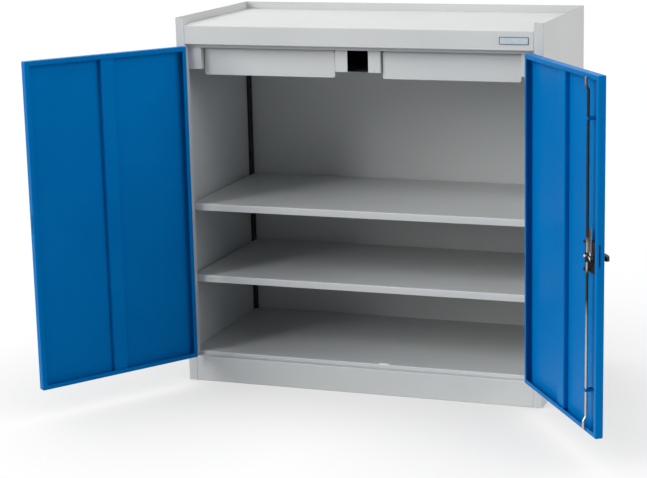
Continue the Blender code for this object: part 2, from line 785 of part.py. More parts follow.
def rod_eye(sign, near):
    """Slotted plate at the end of a rod, with room for the crank pin's whole path."""
    play = CRANK_PIN + CRANK_PIN_CLEAR
    far = near + ROD_EYE_SHEET
    across = (-play, CRANK + play)
    rise = (CRANK - play, CRANK + crank_bulge() + play)
    solids = []
    for grow, over in ((ROD_EYE_WALL, 0.0), (0.0, CUT_OVERRUN)):
        low = (LOCK_X + sign * (across[0] - grow), near - over, LOCK_HEIGHT + sign * (rise[0] - grow))
        high = (LOCK_X + sign * (across[1] + grow), far + over, LOCK_HEIGHT + sign * (rise[1] + grow))
        solids.append(box(low, high))
    return cut(*solids), LOCK_HEIGHT + sign * (rise[1] + ROD_EYE_WALL)


def lock_rod(upward):
    """Lock rod with a slotted eye over its crank pin and a stepped tip."""
    sign = 1 if upward else -1
    eye, eye_end = rod_eye(sign, CAM_FACE + ROD_EYE_STAND + (0.0 if upward else ROD_EYE_STEP))
    end = ROD_HEAD if upward else ROD_FOOT
    bend = end - sign * ROD_TIP
    path = [
        Vector((LOCK_X, ROD_Y, eye_end - sign * ROD_EYE_LAP)),
        Vector((LOCK_X, ROD_Y, bend - sign * ROD_BEND)),
        Vector((LOCK_X, ROD_TIP_Y, bend)),
        Vector((LOCK_X, ROD_TIP_Y, end)),
    ]
    return join(eye, bent_rod(path, ROD_RADIUS))


def rod_guide(height):
    """Loop on the door that a rod slides through."""
    foot = height - GUIDE_HEIGHT / 2
    head = height + GUIDE_HEIGHT / 2
    hole = ROD_RADIUS + GUIDE_CLEAR
    low = (LOCK_X - GUIDE_WIDTH / 2, DOOR_INSIDE, foot)
    high = (LOCK_X + GUIDE_WIDTH / 2, ROD_Y + hole + GUIDE_WALL, head)
    bore = cylinder((LOCK_X, ROD_Y), "z", foot - CUT_OVERRUN, head + CUT_OVERRUN, hole, BARREL_SIDES)
    return cut(box(low, high), bore)


def lock_rose():
    """Round rose on the door's face, bored for the spindle."""
    rear = FRONT - GAP
    front = rear - ROSE_DEPTH
    plate = cylinder((LOCK_X, LOCK_HEIGHT), "y", front, rear, ROSE_RADIUS, DISC_SIDES)
    return cut(plate, spindle_bore(front - CUT_OVERRUN, FRONT))


def lock_handle():
    """Turning handle: a round hub, a crowned grip that hangs down and a socket for the spindle."""
    rear = FRONT - GAP - ROSE_DEPTH - GAP
    hub_face = rear - HANDLE_HUB
    hub = cylinder((LOCK_X, LOCK_HEIGHT), "y", hub_face, rear, HANDLE_RADIUS, DISC_SIDES)
    half = HANDLE_LENGTH / 2
    middle = LOCK_HEIGHT - HANDLE_DROP
    sweep = (half ** 2 + HANDLE_CROWN ** 2) / (2 * HANDLE_CROWN)
    reach = math.asin(half / sweep)
    outline = [(hub_face + CUT_OVERRUN, middle - half), (hub_face + CUT_OVERRUN, middle + half)]
    for step in range(2 * CORNER_STEPS + 1):
        turn = reach * (1 - step / CORNER_STEPS)
        crown = FRONT - HANDLE_DEPTH + sweep * (1 - math.cos(turn))
        outline.append((crown, middle + sweep * math.sin(turn)))
    near = LOCK_X - HANDLE_WIDTH / 2
    grip = prism(outline, "x", near, near + HANDLE_WIDTH)
    return cut(join(hub, grip), spindle_bore(rear - HANDLE_SOCKET, FRONT, SPINDLE_CLEAR / 2))


def label_holder():
    """Blank label holder: a thin frame round a recessed field."""
    middle = STILE_IN - LABEL_INSET
    height = TOP - FASCIA / 2
    rear = FRONT - GAP
    front = rear - LABEL_DEPTH
    half = Vector((LABEL_WIDTH / 2, LABEL_HEIGHT / 2))
    inset = half - Vector((LABEL_FRAME, LABEL_FRAME))
    plate = box((middle - half.x, front, height - half.y), (middle + half.x, rear, height + half.y))
    field_low = (middle - inset.x, front - CUT_OVERRUN, height - inset.y)
    field_high = (middle + inset.x, front + LABEL_RECESS, height + inset.y)
    return cut(plate, box(field_low, field_high))


def build_body():
    """Fixed sheet metal of the cabinet."""
    for word, side in SIDES.items():
        piece(word + "_side_panel", side_panel(side), GREY_PAINT)
        piece(word + "_slide_bracket", slide_bracket(side), GREY_PAINT)
    piece("back_panel", back_panel(), GREY_PAINT)
    piece("top_tray", top_tray(), GREY_PAINT)
    piece("plinth", plinth(), GREY_PAINT)
    piece("floor_panel", floor_panel(), GREY_PAINT)
    piece("drawer_divider", drawer_divider(), GREY_PAINT)
    piece("label_holder", label_holder(), LABEL_PLASTIC)


def build_shelves():
    """Shelves, slotted rails and clips."""
    shelves = {"lower": LOWER_SHELF_SLOT, "upper": UPPER_SHELF_SLOT}
    for level, number in shelves.items():
        piece(level + "_shelf", shelf(number), GREY_PAINT)
    for word, side in SIDES.items():
        for place, middle in rail_middles().items():
            piece(f"{word}_{place}_rail", shelf_rail(side, middle), GREY_PAINT)
            for level, number in shelves.items():
                piece(f"{level}_{word}_{place}_clip", shelf_clip(side, middle, number), ZINC)


def build_drawer(word, side):
    """One drawer with its two telescopic slides."""
    middle = side * (DRAWER_NEAR + DRAWER_FAR) / 2
    drawer = pivot(word + "_drawer_run", (middle, DRAWER_FRONT, SLIDE_BOTTOM))
    extension = pivot(word + "_slide_run", (middle, SLIDE_MIDDLE_FRONT, SLIDE_BOTTOM))
    piece(word + "_drawer_box", drawer_box(side), GREY_PAINT, drawer)
    piece(word + "_drawer_front", drawer_front(side), GREY_PAINT, drawer)
    carriers = {"fixed": None, "middle": extension, "drawer": drawer}
    mounts = {
        "inner": (side * DIVIDER_FACE, side),
        "outer": (side * BRACKET_FACE, -side),
    }
    for place, (mount, toward) in mounts.items():
        for member, solid in slide_members(mount, toward).items():
            piece(f"{word}_{place}_slide_{member}", solid, ZINC, carriers[member])


def build_door(word, side):
    """One door leaf with its stiffener and hinges."""
    axis = (side * HINGE_X, HINGE_Y, 0.0)
    hinge = pivot(word + "_door_hinge", axis, turn=(0.0, 0.0, side * DOOR_OPEN_ANGLE))
    piece(word + "_door", door(side), BLUE_PAINT, hinge)
    piece(word + "_door_stiffener", door_stiffener(side), BLUE_PAINT, hinge)
    heights = {"lower": DOOR_BOTTOM + HINGE_MARGIN, "upper": DOOR_TOP - HINGE_MARGIN}
    for level, height in heights.items():
        piece(f"{word}_{level}_hinge_fixed", fixed_hinge(side, height), GREY_PAINT)
        piece(f"{word}_{level}_hinge_leaf", door_hinge(side, height), BLUE_PAINT, hinge)
    return hinge


def build_lock(hinge):
    """Rod lock on the right door, released."""
    centre = (LOCK_X, FRONT, LOCK_HEIGHT)
    piece("lock_case", lock_case(), BLACK_PLASTIC, hinge)
    piece("lock_rose", lock_rose(), BLACK_PLASTIC, hinge)
    piece("upper_rod_guide", rod_guide(DOOR_TOP - GUIDE_MARGIN), BLUE_PAINT, hinge)
    piece("lower_rod_guide", rod_guide(DOOR_BOTTOM + GUIDE_MARGIN), BLUE_PAINT, hinge)
    spindle = pivot("lock_spindle", centre, hinge, turn=(0.0, math.pi / 2, 0.0))
    piece("lock_cam", lock_cam(), ZINC, spindle)
    piece("lock_handle", lock_handle(), BLACK_PLASTIC, spindle)
    upper = pivot("upper_rod_run", centre, hinge, shift=(0.0, 0.0, -CRANK))
    lower = pivot("lower_rod_run", centre, hinge, shift=(0.0, 0.0, CRANK))
    piece("upper_rod", lock_rod(True), ZINC, upper)
    piece("lower_rod", lock_rod(False), ZINC, lower)


def main():
    """Build the whole cabinet."""
    clear_scene()
    build_body()
    build_shelves()
    hinges = {}
    for word, side in SIDES.items():
        build_drawer(word, side)
        hinges[word] = build_door(word, side)
    build_lock(hinges["right"])


main()
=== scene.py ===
"""Looks of a workshop swing door cabinet of folded, powder coated sheet steel.

Every sheet is a surface at the middle of its thickness, with the bend radii of a press brake. Pieces are
drawn with the doors shut, the drawers pushed in and the lock thrown, and are then put where their bodies
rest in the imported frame. Metres, +Z up, the doors face -Y.
"""

import json
import logging
import math
from collections.abc import Iterable, Sequence
from dataclasses import dataclass
from enum import Enum

import bpy
import numpy as np
from mathutils import Matrix, Vector

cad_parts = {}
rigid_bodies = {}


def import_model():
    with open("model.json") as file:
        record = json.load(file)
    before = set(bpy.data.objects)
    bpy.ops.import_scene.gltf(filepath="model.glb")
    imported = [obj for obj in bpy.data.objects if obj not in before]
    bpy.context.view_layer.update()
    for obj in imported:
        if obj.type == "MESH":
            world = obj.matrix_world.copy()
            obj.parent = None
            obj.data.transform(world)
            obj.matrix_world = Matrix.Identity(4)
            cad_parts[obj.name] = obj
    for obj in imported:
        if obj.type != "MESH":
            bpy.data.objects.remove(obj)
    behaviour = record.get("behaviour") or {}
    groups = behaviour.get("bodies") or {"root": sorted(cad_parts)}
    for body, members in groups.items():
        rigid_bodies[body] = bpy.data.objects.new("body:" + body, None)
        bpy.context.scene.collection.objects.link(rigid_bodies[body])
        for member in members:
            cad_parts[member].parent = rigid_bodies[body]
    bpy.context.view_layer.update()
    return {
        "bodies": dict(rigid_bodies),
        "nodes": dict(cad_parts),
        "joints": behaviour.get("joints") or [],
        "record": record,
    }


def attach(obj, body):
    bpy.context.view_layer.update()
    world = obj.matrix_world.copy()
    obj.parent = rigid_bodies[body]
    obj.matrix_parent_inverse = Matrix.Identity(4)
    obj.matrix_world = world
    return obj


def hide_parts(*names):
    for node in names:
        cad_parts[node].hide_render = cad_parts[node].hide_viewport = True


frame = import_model()

LOG = logging.getLogger("cabinet")
IMAGE_WIDTH = 647
# Steps of a bend and of a rounded corner, and sides of a full round.
BEND_STEPS = 5
CORNER_STEPS = 6
ROUND_SIDES = 40
# Least radius of an inset corner, and the turn below which a path counts as straight.
LEAST_CORNER = 0.0004
STRAIGHT = 1e-6
# Edges that turn by more than this stay sharp.
SHARP_ANGLE = math.radians(38.0)
# Clearance between neighbours, and the gauges and width that several sub-assemblies share.
GAP = 0.0003
SHEET = 0.0012
CAM_SHEET = 0.002
TONGUE_WIDTH = 0.019
# Bend radii that a pan's profile runs on over its flat face.
FLAT_RUN = 4
# Radius of the flat centre of a recess, as a share of the piece's radius.
RECESS_CENTRE = 0.1
# Where most values of a noise texture lie, and how far the clouds shift the painted highlights and shade of a
# bar.
NOISE_LOW, NOISE_HIGH = 0.3, 0.7
MOTTLE = 0.06
# Octaves of the clouds and of the grain, and how strong the grain's finer octaves are.
CLOUD_DETAIL, GRAIN_DETAIL, GRAIN_ROUGHNESS = 2.0, 3.0, 0.55


class Body(Enum):
    """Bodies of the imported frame."""

    CABINET = "cabinet"
    LEFT_DOOR = "left_door"
    RIGHT_DOOR = "right_door"
    LEFT_DRAWER = "left_drawer"
    RIGHT_DRAWER = "right_drawer"
    LEFT_SLIDES = "left_slides"
    RIGHT_SLIDES = "right_slides"
    LOCK = "lock"
    UPPER_ROD = "upper_rod"
    LOWER_ROD = "lower_rod"


class Side(Enum):
    """Left and right half of the cabinet, with the sign of x there."""

    LEFT = -1
    RIGHT = 1

    @property
    def word(self) -> str:
        """Name of the side as the frame's nodes write it."""
        return self.name.lower()

    @property
    def door(self) -> Body:
        """Body of the door leaf on this side."""
        return Body[self.name + "_DOOR"]

    @property
    def drawer(self) -> Body:
        """Body of the drawer on this side."""
        return Body[self.name + "_DRAWER"]

    @property
    def slides(self) -> Body:
        """Body of the slides' middle members on this side."""
        return Body[self.name + "_SLIDES"]


# Shapes

@dataclass(frozen=True)
class Shape:
    """A surface: its points, its four-cornered faces and any flat caps with more corners."""

    points: np.ndarray
    quads: np.ndarray
    caps: tuple[np.ndarray, ...] = ()


@dataclass(frozen=True)
class Box:
    """Lowest and highest corner of a node in the shut pose."""

    low: np.ndarray
    high: np.ndarray

    @property
    def middle(self) -> np.ndarray:
        """Centre of the box."""
        return (self.low + self.high) / 2

    @property
    def across(self) -> np.ndarray:
        """Distance of its inner and of its outer side from the plane x = 0."""
        return np.sort(np.abs([self.low[0], self.high[0]]))

    def span(self, axis: str) -> tuple[float, float]:
        """Lowest and highest place along an axis."""
        index = "xyz".index(axis)
        return self.low[index], self.high[index]


def joined(shapes: Iterable[Shape]) -> Shape:
    """Several shapes as one.

    Args:
        shapes: the shapes, each closed or meant to be given a thickness.

    Returns:
        One shape whose faces count on through the stacked points.
    """
    shapes = list(shapes)
    starts = np.cumsum([0] + [len(shape.points) for shape in shapes])
    return Shape(
        np.concatenate([shape.points for shape in shapes]),
        np.concatenate([shape.quads + start for shape, start in zip(shapes, starts)]),
        tuple(cap + start for shape, start in zip(shapes, starts) for cap in shape.caps),
    )


def mirrored(shape: Shape, side: Side) -> Shape:
    """Shape drawn for the right half, on the given side; a mirrored face is read backwards.

    Args:
        shape: the shape on the right.
        side: the side that it is wanted on.

    Returns:
        The shape there.
    """
    if side is Side.RIGHT:
        return shape
    return Shape(
        shape.points * np.array([-1.0, 1.0, 1.0]),
        shape.quads[:, ::-1],
        tuple(cap[::-1] for cap in shape.caps),
    )


def without(shape: Shape, low: Sequence[float], high: Sequence[float]) -> Shape:
    """Shape with a window: the faces whose middle lies in a box are left out.

    Args:
        shape: a surface whose grid lines run along the window's edges.
        low: lowest corner of the box.
        high: highest corner of the box.

    Returns:
        The shape with the window open.
    """
    middles = shape.points[shape.quads].mean(axis=1)
    inside = np.all((middles > np.asarray(low)) & (middles < np.asarray(high)), axis=1)
    return Shape(shape.points, shape.quads[~inside], shape.caps)


def lofted(rings: np.ndarray, caps: tuple[bool, bool] = (True, True), looped: bool = False) -> Shape:
    """Closed rings joined row by row.

    Args:
        rings: points in the shape (rows, points of a ring, 3).
        caps: whether the first and the last ring are filled.
        looped: whether the last row joins the first one, as on a torus.

    Returns:
        The surface through the rings.
    """
    rows, count = rings.shape[:2]
    row, column = np.meshgrid(np.arange(rows if looped else rows - 1), np.arange(count), indexing="ij")
    here, ahead = row * count, (row + 1) % rows * count
    beside = (column + 1) % count
    quads = np.stack([here + column, here + beside, ahead + beside, ahead + column], axis=-1)
    ends = (np.arange(count)[::-1], np.arange(count) + (rows - 1) * count)
    return Shape(rings.reshape(-1, 3), quads.reshape(-1, 4), tuple(e for e, c in zip(ends, caps) if c))


def bent_path(corners: Sequence[Sequence[float]], radius: float | Sequence[float]) -> np.ndarray:
    """Polyline whose inner corners are rounded by tangent arcs.

    An arc starts radius * tan(turn / 2) before its corner, and its points are that start turned about
    the arc's centre in equal steps. A corner that doesn't turn stays as a point of its own.

    Args:
        corners: the sharp polyline, in two coordinates.
        radius: radius of the arcs, one for all or one for each inner corner.

    Returns:
        The rounded polyline's points.
    """
    corners = np.asarray(corners, float)
    radii = np.broadcast_to(radius, len(corners) - 2)
    parts = [corners[:1]]
    for before, corner, after, reach in zip(corners, corners[1:], corners[2:], radii):
        inward = (corner - before) / np.linalg.norm(corner - before)
        outward = (after - corner) / np.linalg.norm(after - corner)
        turn = math.atan2(inward[0] * outward[1] - inward[1] * outward[0], inward @ outward)
        if abs(turn) < STRAIGHT:
            parts.append(corner[None])
            continue
        start = corner - inward * reach * math.tan(abs(turn) / 2)
        arm = math.copysign(reach, turn) * np.array([inward[1], -inward[0]])
        angles = np.linspace(0.0, turn, BEND_STEPS + 1)
        turned_arm = (arm[0] * np.cos(angles) - arm[1] * np.sin(angles),
                      arm[0] * np.sin(angles) + arm[1] * np.cos(angles))
        parts.append(start - arm + np.stack(turned_arm, axis=1))
    parts.append(corners[-1:])
    return np.concatenate(parts)


def folded(path: np.ndarray, stations: Sequence[float], axes: str) -> Shape:
    """Folded sheet: a path carried straight along a third axis.

    Args:
        path: the fold line's points in two coordinates.
        stations: places along the third axis, in rising order.
        axes: letters of the path's two coordinates and of the third axis, such as "yzx".

    Returns:
        The sheet's middle surface.
    """
    points = np.zeros((len(stations), len(path), 3))
    first, second, along = ("xyz".index(letter) for letter in axes)
    points[..., first] = path[:, 0]
    points[..., second] = path[:, 1]
    points[..., along] = np.asarray(stations)[:, None]
    columns = len(path)
    row, column = np.meshgrid(np.arange(len(stations) - 1), np.arange(columns - 1), indexing="ij")
    here = row * columns + column
    quads = np.stack([here, here + 1, here + columns + 1, here + columns], axis=-1)
    return Shape(points.reshape(-1, 3), quads.reshape(-1, 4))


def rectangle_rings(low: Sequence[float], high: Sequence[float], insets: Sequence[float], corner: float,
                    marks: Sequence[float] = ()) -> np.ndarray:
    """Rounded rectangles, each inset from the outer one, as rows of points that run the same way.

    A corner's points are its centre plus its radius times (cos, sin). The radius shrinks with the inset,
    as a parallel outline's does.

    Args:
        low: lowest corner of the outer rectangle.
        high: highest corner of the outer rectangle.
        insets: how far each rectangle lies inside the outer one.
        corner: corner radius of the outer rectangle.
        marks: second coordinates that get a point of their own on the low side.

    Returns:
        Points in the shape (insets, points of a ring, 2).
    """
    middle = (np.asarray(low, float) + np.asarray(high, float)) / 2
    half = (np.asarray(high, float) - np.asarray(low, float)) / 2
    insets = np.asarray(insets, float)[:, None]
    radius = np.maximum(corner - insets, LEAST_CORNER)
    quarter = np.repeat(np.arange(4), CORNER_STEPS + 1)
    turn = (quarter + np.tile(np.linspace(0.0, 1.0, CORNER_STEPS + 1), 4)) * math.pi / 2
    right = np.array([1.0, -1.0, -1.0, 1.0])[quarter]
    upper = np.array([1.0, 1.0, -1.0, -1.0])[quarter]
    across = middle[0] + right * (half[0] - insets - radius) + radius * np.cos(turn)
    up = middle[1] + upper * (half[1] - insets - radius) + radius * np.sin(turn)
    falling = np.sort(np.asarray(marks, float))[::-1]
    edge = np.repeat(middle[0] - half[0] + insets, len(falling), axis=1)
    rise = np.repeat(falling[None], len(insets), axis=0)
    split = 2 * (CORNER_STEPS + 1)
    across = np.concatenate([across[:, :split], edge, across[:, split:]], axis=1)
    up = np.concatenate([up[:, :split], rise, up[:, split:]], axis=1)
    return np.stack([across, up], axis=-1)


def stacked(rings: np.ndarray, depths: Sequence[float], axes: str) -> np.ndarray:
    """Flat rings at their depths, as points in space.

    Args:
        rings: points in the shape (rows, points of a ring, 2).
        depths: third coordinate of each row.
        axes: letters of the rings' two coordinates and of the depth.

    Returns:
        Points in the shape (rows, points of a ring, 3).
    """
    points = np.zeros((*rings.shape[:2], 3))
    first, second, along = ("xyz".index(letter) for letter in axes)
    points[..., first] = rings[..., 0]
    points[..., second] = rings[..., 1]
    points[..., along] = np.asarray(depths)[:, None]
    return points


def pan(low: Sequence[float], high: Sequence[float], profile: np.ndarray, axes: str, corner: float,
        marks: Sequence[float] = ()) -> Shape:
    """Sheet pan: a profile of inset and depth carried round a rounded rectangle, closed at its last row.

    Args:
        low: lowest corner of the outer rectangle.
        high: highest corner of the outer rectangle.
        profile: points of inset and depth, from the open edge to the flat face.
        axes: letters of the rectangle's two coordinates and of the depth.
        corner: corner radius of the outer rectangle.
        marks: second coordinates that get a point of their own on the low side.

    Returns:
        The pan's middle surface.
    """
    rings = rectangle_rings(low, high, profile[:, 0], corner, marks)
    return lofted(stacked(rings, profile[:, 1], axes), (False, True))


def pan_profile(half: float, rim: float, flat: float, bend: float) -> np.ndarray:
    """Profile of a plain pan: a wall from its open rim, rounded into the flat face.

    Args:
        half: half of the sheet's thickness.
        rim: depth of the open rim.
        flat: depth of the flat face.
        bend: radius of the bend between them.

    Returns:
        Points of inset and depth.
    """
    return bent_path([(half, rim), (half, flat), (FLAT_RUN * bend, flat)], bend)


def border(low: Sequence[float], high: Sequence[float], insets: Sequence[float], depths: Sequence[float],
           axes: str, corner: float) -> Shape:
    """Solid frame: a closed profile of inset and depth carried round a rounded rectangle.

    Args:
        low: lowest corner of the outer rectangle.
        high: highest corner of the outer rectangle.
        insets: inset of each point of the profile.
        depths: depth of each point of the profile.
        axes: letters of the rectangle's two coordinates and of the depth.
        corner: corner radius of the outer rectangle.

    Returns:
        The closed frame.
    """
    rings = rectangle_rings(low, high, insets, corner)
    return lofted(stacked(rings, depths, axes), (False, False), looped=True)


def block(low: Sequence[float], high: Sequence[float], axis: str, corner: float, edge: float) -> Shape:
    """Solid block with rounded corners along an axis and rounded edges at both ends.

    The edge's inset and depth follow a quarter circle at each end.

    Args:
        low: lowest corner.
        high: highest corner.
        axis: the axis that the corners run along.
        corner: radius of those corners.
        edge: radius of the edges at the two ends.

    Returns:
        The closed block.
    """
    index = "xyz".index(axis)
    axes = "xyz".replace(axis, "") + axis
    low, high = np.minimum(low, high), np.maximum(low, high)
    turn = np.linspace(0.0, math.pi / 2, BEND_STEPS)
    insets = edge * (1 - np.sin(turn))
    rise = edge * (1 - np.cos(turn))
    depths = np.concatenate([low[index] + rise, high[index] - rise[::-1]])
    flat = ["xyz".index(letter) for letter in axes[:2]]
    rings = rectangle_rings(low[flat], high[flat], np.concatenate([insets, insets[::-1]]), corner)
    return lofted(stacked(rings, depths, axes))


def turned(profile: Sequence[Sequence[float]], centre: Sequence[float], axis: str) -> Shape:
    """Turned solid: a profile of radius and height carried round an axis.

    Args:
        profile: points of radius and height along the axis, from one end to the other.
        centre: point on the axis at height 0.
        axis: letter of the axis.

    Returns:
        The closed solid.
    """
    profile = np.asarray(profile, float)
    index = "xyz".index(axis)
    angle = np.linspace(0.0, 2 * math.pi, ROUND_SIDES, endpoint=False)
    rings = np.zeros((len(profile), ROUND_SIDES, 3)) + np.asarray(centre, float)
    rings[..., (index + 1) % 3] += profile[:, :1] * np.cos(angle)
    rings[..., (index + 2) % 3] += profile[:, :1] * np.sin(angle)
    rings[..., index] += profile[:, 1:]
    return lofted(rings)


def bevelled(radius: float, low: float, high: float, edge: float) -> list[tuple[float, float]]:
    """Turned profile of a disc or a bar with bevelled ends.

    Args:
        radius: its radius.
        low: height of its lower end.
        high: height of its upper end.
        edge: width of the bevels.

    Returns:
        Points of radius and height.
    """
    return [(radius - edge, low), (radius, low + edge), (radius, high - edge), (radius - edge, high)]


def recess(radius: float, mouth: float, floor: float, top: float,
           depth: float) -> list[tuple[float, float]]:
    """Last part of a turned profile: a round recess with a flat floor.

    Args:
        radius: radius of the piece.
        mouth: radius of the recess's mouth, as a share of that.
        floor: radius of its floor, as a share too.
        top: height of the face that it sinks into.
        depth: how deep it is.

    Returns:
        Points of radius and height, from the mouth towards the axis.
    """
    return [(mouth * radius, top), (floor * radius, top - depth), (RECESS_CENTRE * radius, top - depth)]


def swept_rod(path: np.ndarray, across: float, radii: np.ndarray) -> Shape:
    """Round rod along a path in an x plane: circles square to the path's heading.

    Args:
        path: points of y and z.
        across: x of the plane.
        radii: radius at each point.

    Returns:
        The closed rod.
    """
    heading = np.gradient(path, axis=0)
    heading /= np.linalg.norm(heading, axis=1, keepdims=True)
    angle = np.linspace(0.0, 2 * math.pi, ROUND_SIDES // 2, endpoint=False)
    rings = np.zeros((len(path), len(angle), 3))
    rings[..., 0] = across + radii[:, None] * np.cos(angle)
    rings[..., 1] = path[:, :1] + heading[:, 1:] * radii[:, None] * np.sin(angle)
    rings[..., 2] = path[:, 1:] - heading[:, :1] * radii[:, None] * np.sin(angle)
    return lofted(rings)


# Materials

def linear(code: str) -> tuple[float, float, float, float]:
    """Linear colour of an sRGB hex value, by the standard's curve.

    Args:
        code: the value, such as "#C5C7C7".

    Returns:
        Red, green and blue from 0 to 1, and an alpha of 1.
    """
    parts = np.array([int(code[i:i + 2], 16) for i in (1, 3, 5)]) / 255
    red, green, blue = np.where(parts <= 0.04045, parts / 12.92, ((parts + 0.055) / 1.055) ** 2.4)
    return float(red), float(green), float(blue), 1.0


def per_mm(size: float) -> float:
    """Texture scale at which one feature is so many millimetres wide on Object coordinates."""
    return 1000.0 / size


def add_node(tree: bpy.types.NodeTree, kind: str, inputs: dict | None = None, **settings) -> bpy.types.Node:
    """Add a node with its settings and links.

    Args:
        tree: the node tree.
        kind: the node's type name.
        inputs: values for input sockets, or output sockets to link to them.
        settings: the node's own properties.

    Returns:
        The new node.
    """
    made = tree.nodes.new(kind)
    for name, value in settings.items():
        setattr(made, name, value)
    for name, value in (inputs or {}).items():
        if isinstance(value, bpy.types.NodeSocket):
            tree.links.new(value, made.inputs[name])
        else:
            made.inputs[name].default_value = value
    return made


@dataclass(frozen=True)
class Finish:
    """Surface of one material: colours, gloss, the size of its grain, and any painted light by height."""

    name: str
    slot: str
    light: str
    dark: str
    roughness: tuple[float, float]
    metallic: float = 0.0
    specular: float = 0.5
    cloud_mm: float = 260.0
    grain_mm: float = 5.0
    grain_depth_mm: float = 0.02
    stretch: tuple[float, float, float] = (1.0, 1.0, 1.0)
    sheen: str = "#FFFFFF"
    # Painted highlights and shade by height: stops of height in metres and brightness.
    wear: tuple[tuple[float, float], ...] = ()

    def material(self) -> bpy.types.Material:
        """Build the finish once: wide tone clouds, a fine grain in the gloss, and the grain as relief.

        Returns:
            The Blender material.
        """
        found = bpy.data.materials.get(self.name)
        if found:
            return found
        made = bpy.data.materials.new(self.name)
        made.use_nodes = True
        tree = made.node_tree
        shader = tree.nodes["Principled BSDF"]
        shader.inputs["Metallic"].default_value = self.metallic
        shader.inputs["Specular IOR Level"].default_value = self.specular
        shader.inputs["Specular Tint"].default_value = linear(self.sheen)
        place = add_node(tree, "ShaderNodeTexCoord").outputs["Object"]
        drawn = add_node(tree, "ShaderNodeMapping", {"Vector": place, "Scale": self.stretch})
        grain = add_node(tree, "ShaderNodeTexNoise", {
            "Vector": drawn.outputs["Vector"], "Scale": per_mm(self.grain_mm), "Detail": GRAIN_DETAIL,
            "Roughness": GRAIN_ROUGHNESS})
        cloud = add_node(tree, "ShaderNodeTexNoise", {
            "Vector": drawn.outputs["Vector"], "Scale": per_mm(self.cloud_mm), "Detail": CLOUD_DETAIL})
        tone = add_node(tree, "ShaderNodeMapRange", {
            "Value": cloud.outputs["Fac"], "From Min": NOISE_LOW, "From Max": NOISE_HIGH}).outputs["Result"]
        # A bar's painted highlights and shade, set by height.
        if self.wear:
            tone = self.rubbed(tree, place, tone)
        colour = add_node(tree, "ShaderNodeValToRGB", {"Fac": tone})
        for stop, code in zip(colour.color_ramp.elements, (self.dark, self.light)):
            stop.color = linear(code)
        gloss = add_node(tree, "ShaderNodeMapRange", {
            "Value": grain.outputs["Fac"], "From Min": NOISE_LOW, "From Max": NOISE_HIGH,
            "To Min": self.roughness[0], "To Max": self.roughness[1]})
        relief = add_node(tree, "ShaderNodeBump", {
            "Height": grain.outputs["Fac"], "Strength": 1.0, "Distance": self.grain_depth_mm / 1000})
        tree.links.new(colour.outputs["Color"], shader.inputs["Base Color"])
        tree.links.new(gloss.outputs["Result"], shader.inputs["Roughness"])
        tree.links.new(relief.outputs["Normal"], shader.inputs["Normal"])
        return made

    def rubbed(self, tree: bpy.types.NodeTree, place: bpy.types.NodeSocket,
               tone: bpy.types.NodeSocket) -> bpy.types.NodeSocket:
        """Tone that follows the height: painted highlights and shade along the bar, bright and dark bands,
        mottled by the clouds.

        Args:
            tree: the node tree.
            place: socket of the Object coordinates.
            tone: socket of the cloud tone.

        Returns:
            Socket of the new tone.
        """
        height = add_node(tree, "ShaderNodeSeparateXYZ", {"Vector": place}).outputs["Z"]
        ramp = add_node(tree, "ShaderNodeValToRGB", {"Fac": height})
        stops = ramp.color_ramp.elements
        while len(stops) < len(self.wear):
            stops.new(1.0)
        for stop, (level, bright) in zip(stops, self.wear):
            stop.position = level
            stop.color = (bright, bright, bright, 1.0)
        mottle = add_node(tree, "ShaderNodeMapRange", {"Value": tone, "To Min": -MOTTLE, "To Max": MOTTLE})
        mixed = add_node(tree, "ShaderNodeMath", {
            0: ramp.outputs["Color"], 1: mottle.outputs["Result"]}, operation="ADD", use_clamp=True)
        return mixed.outputs["Value"]


# Where the real grain is finer than about a millimetre, it is drawn at 1 to 2 mm so that it shows.

# Epoxy-polyester powder, sprayed and baked: an even satin skin with a faint orange peel. The real peel is
# 1 to 2 mm wide; it is drawn at 5 mm so that it still breaks up the gloss at arm's length.
GREY_COAT = Finish("light_grey_powder_coat_baked", "body_paint", "#C7C9C8", "#C2C4C4", (0.36, 0.50))
BLUE_COAT = Finish("blue_powder_coat_baked", "door_paint", "#0070B6", "#006AAE", (0.36, 0.50), specular=0.14,
                   sheen="#0088DD")
# Near-black, dull steel finish: on the shelf rails a dark line in the corners, and inside the box section
# between the drawers a lining of painted shade.
DARK_STEEL_AND_SHADE = Finish("hot_rolled_steel_mill_scale", "body_paint", "#26272A", "#1A1B1D", (0.6, 0.75),
                    specular=0.3, cloud_mm=80.0, grain_mm=4.0, grain_depth_mm=0.02)
# Zinc plate with a clear chromate on rolled strip: pale and satin, with rolling streaks along the strip.
SATIN_ZINC = Finish("zinc_plated_chromated_strip", "zinc", "#F0F2F4", "#E2E5E8", (0.34, 0.48), metallic=0.15,
                    cloud_mm=60.0, grain_mm=2.0, grain_depth_mm=0.008, stretch=(1.0, 0.05, 1.0))
# Bright zinc plate, as it comes from the bath: a cool mirror that shows what stands beside it.
BRIGHT_ZINC = Finish("zinc_plated_bright_strip", "zinc", "#D6DADD", "#C4C9CD", (0.14, 0.24), metallic=0.9,
                     cloud_mm=60.0, grain_mm=2.0, grain_depth_mm=0.006, stretch=(1.0, 0.05, 1.0))
# Drawn round bar, phosphated dark grey, with highlights painted by height: bright along its foot, at its tip
# and beside the lock.
DRAWN_STEEL = Finish("drawn_steel_bar_phosphated", "zinc", "#C2BEB6", "#34312E", (0.20, 0.32), metallic=0.8,
                     cloud_mm=40.0, grain_mm=1.5, grain_depth_mm=0.006, stretch=(1.0, 1.0, 0.04),
                     wear=((0.28, 1.0), (0.36, 0.6), (0.40, 0.05), (0.462, 0.05), (0.472, 0.8), (0.53, 0.7),
                           (0.55, 0.0), (0.89, 0.0), (0.905, 0.45)))
# Glass-filled polyamide from a spark-eroded mould: near black, with a dull grain.
BLACK_NYLON = Finish("black_polyamide_moulded", "black_plastic", "#101113", "#0B0C0D", (0.42, 0.58),
                     specular=0.3, cloud_mm=30.0, grain_mm=1.2, grain_depth_mm=0.02)
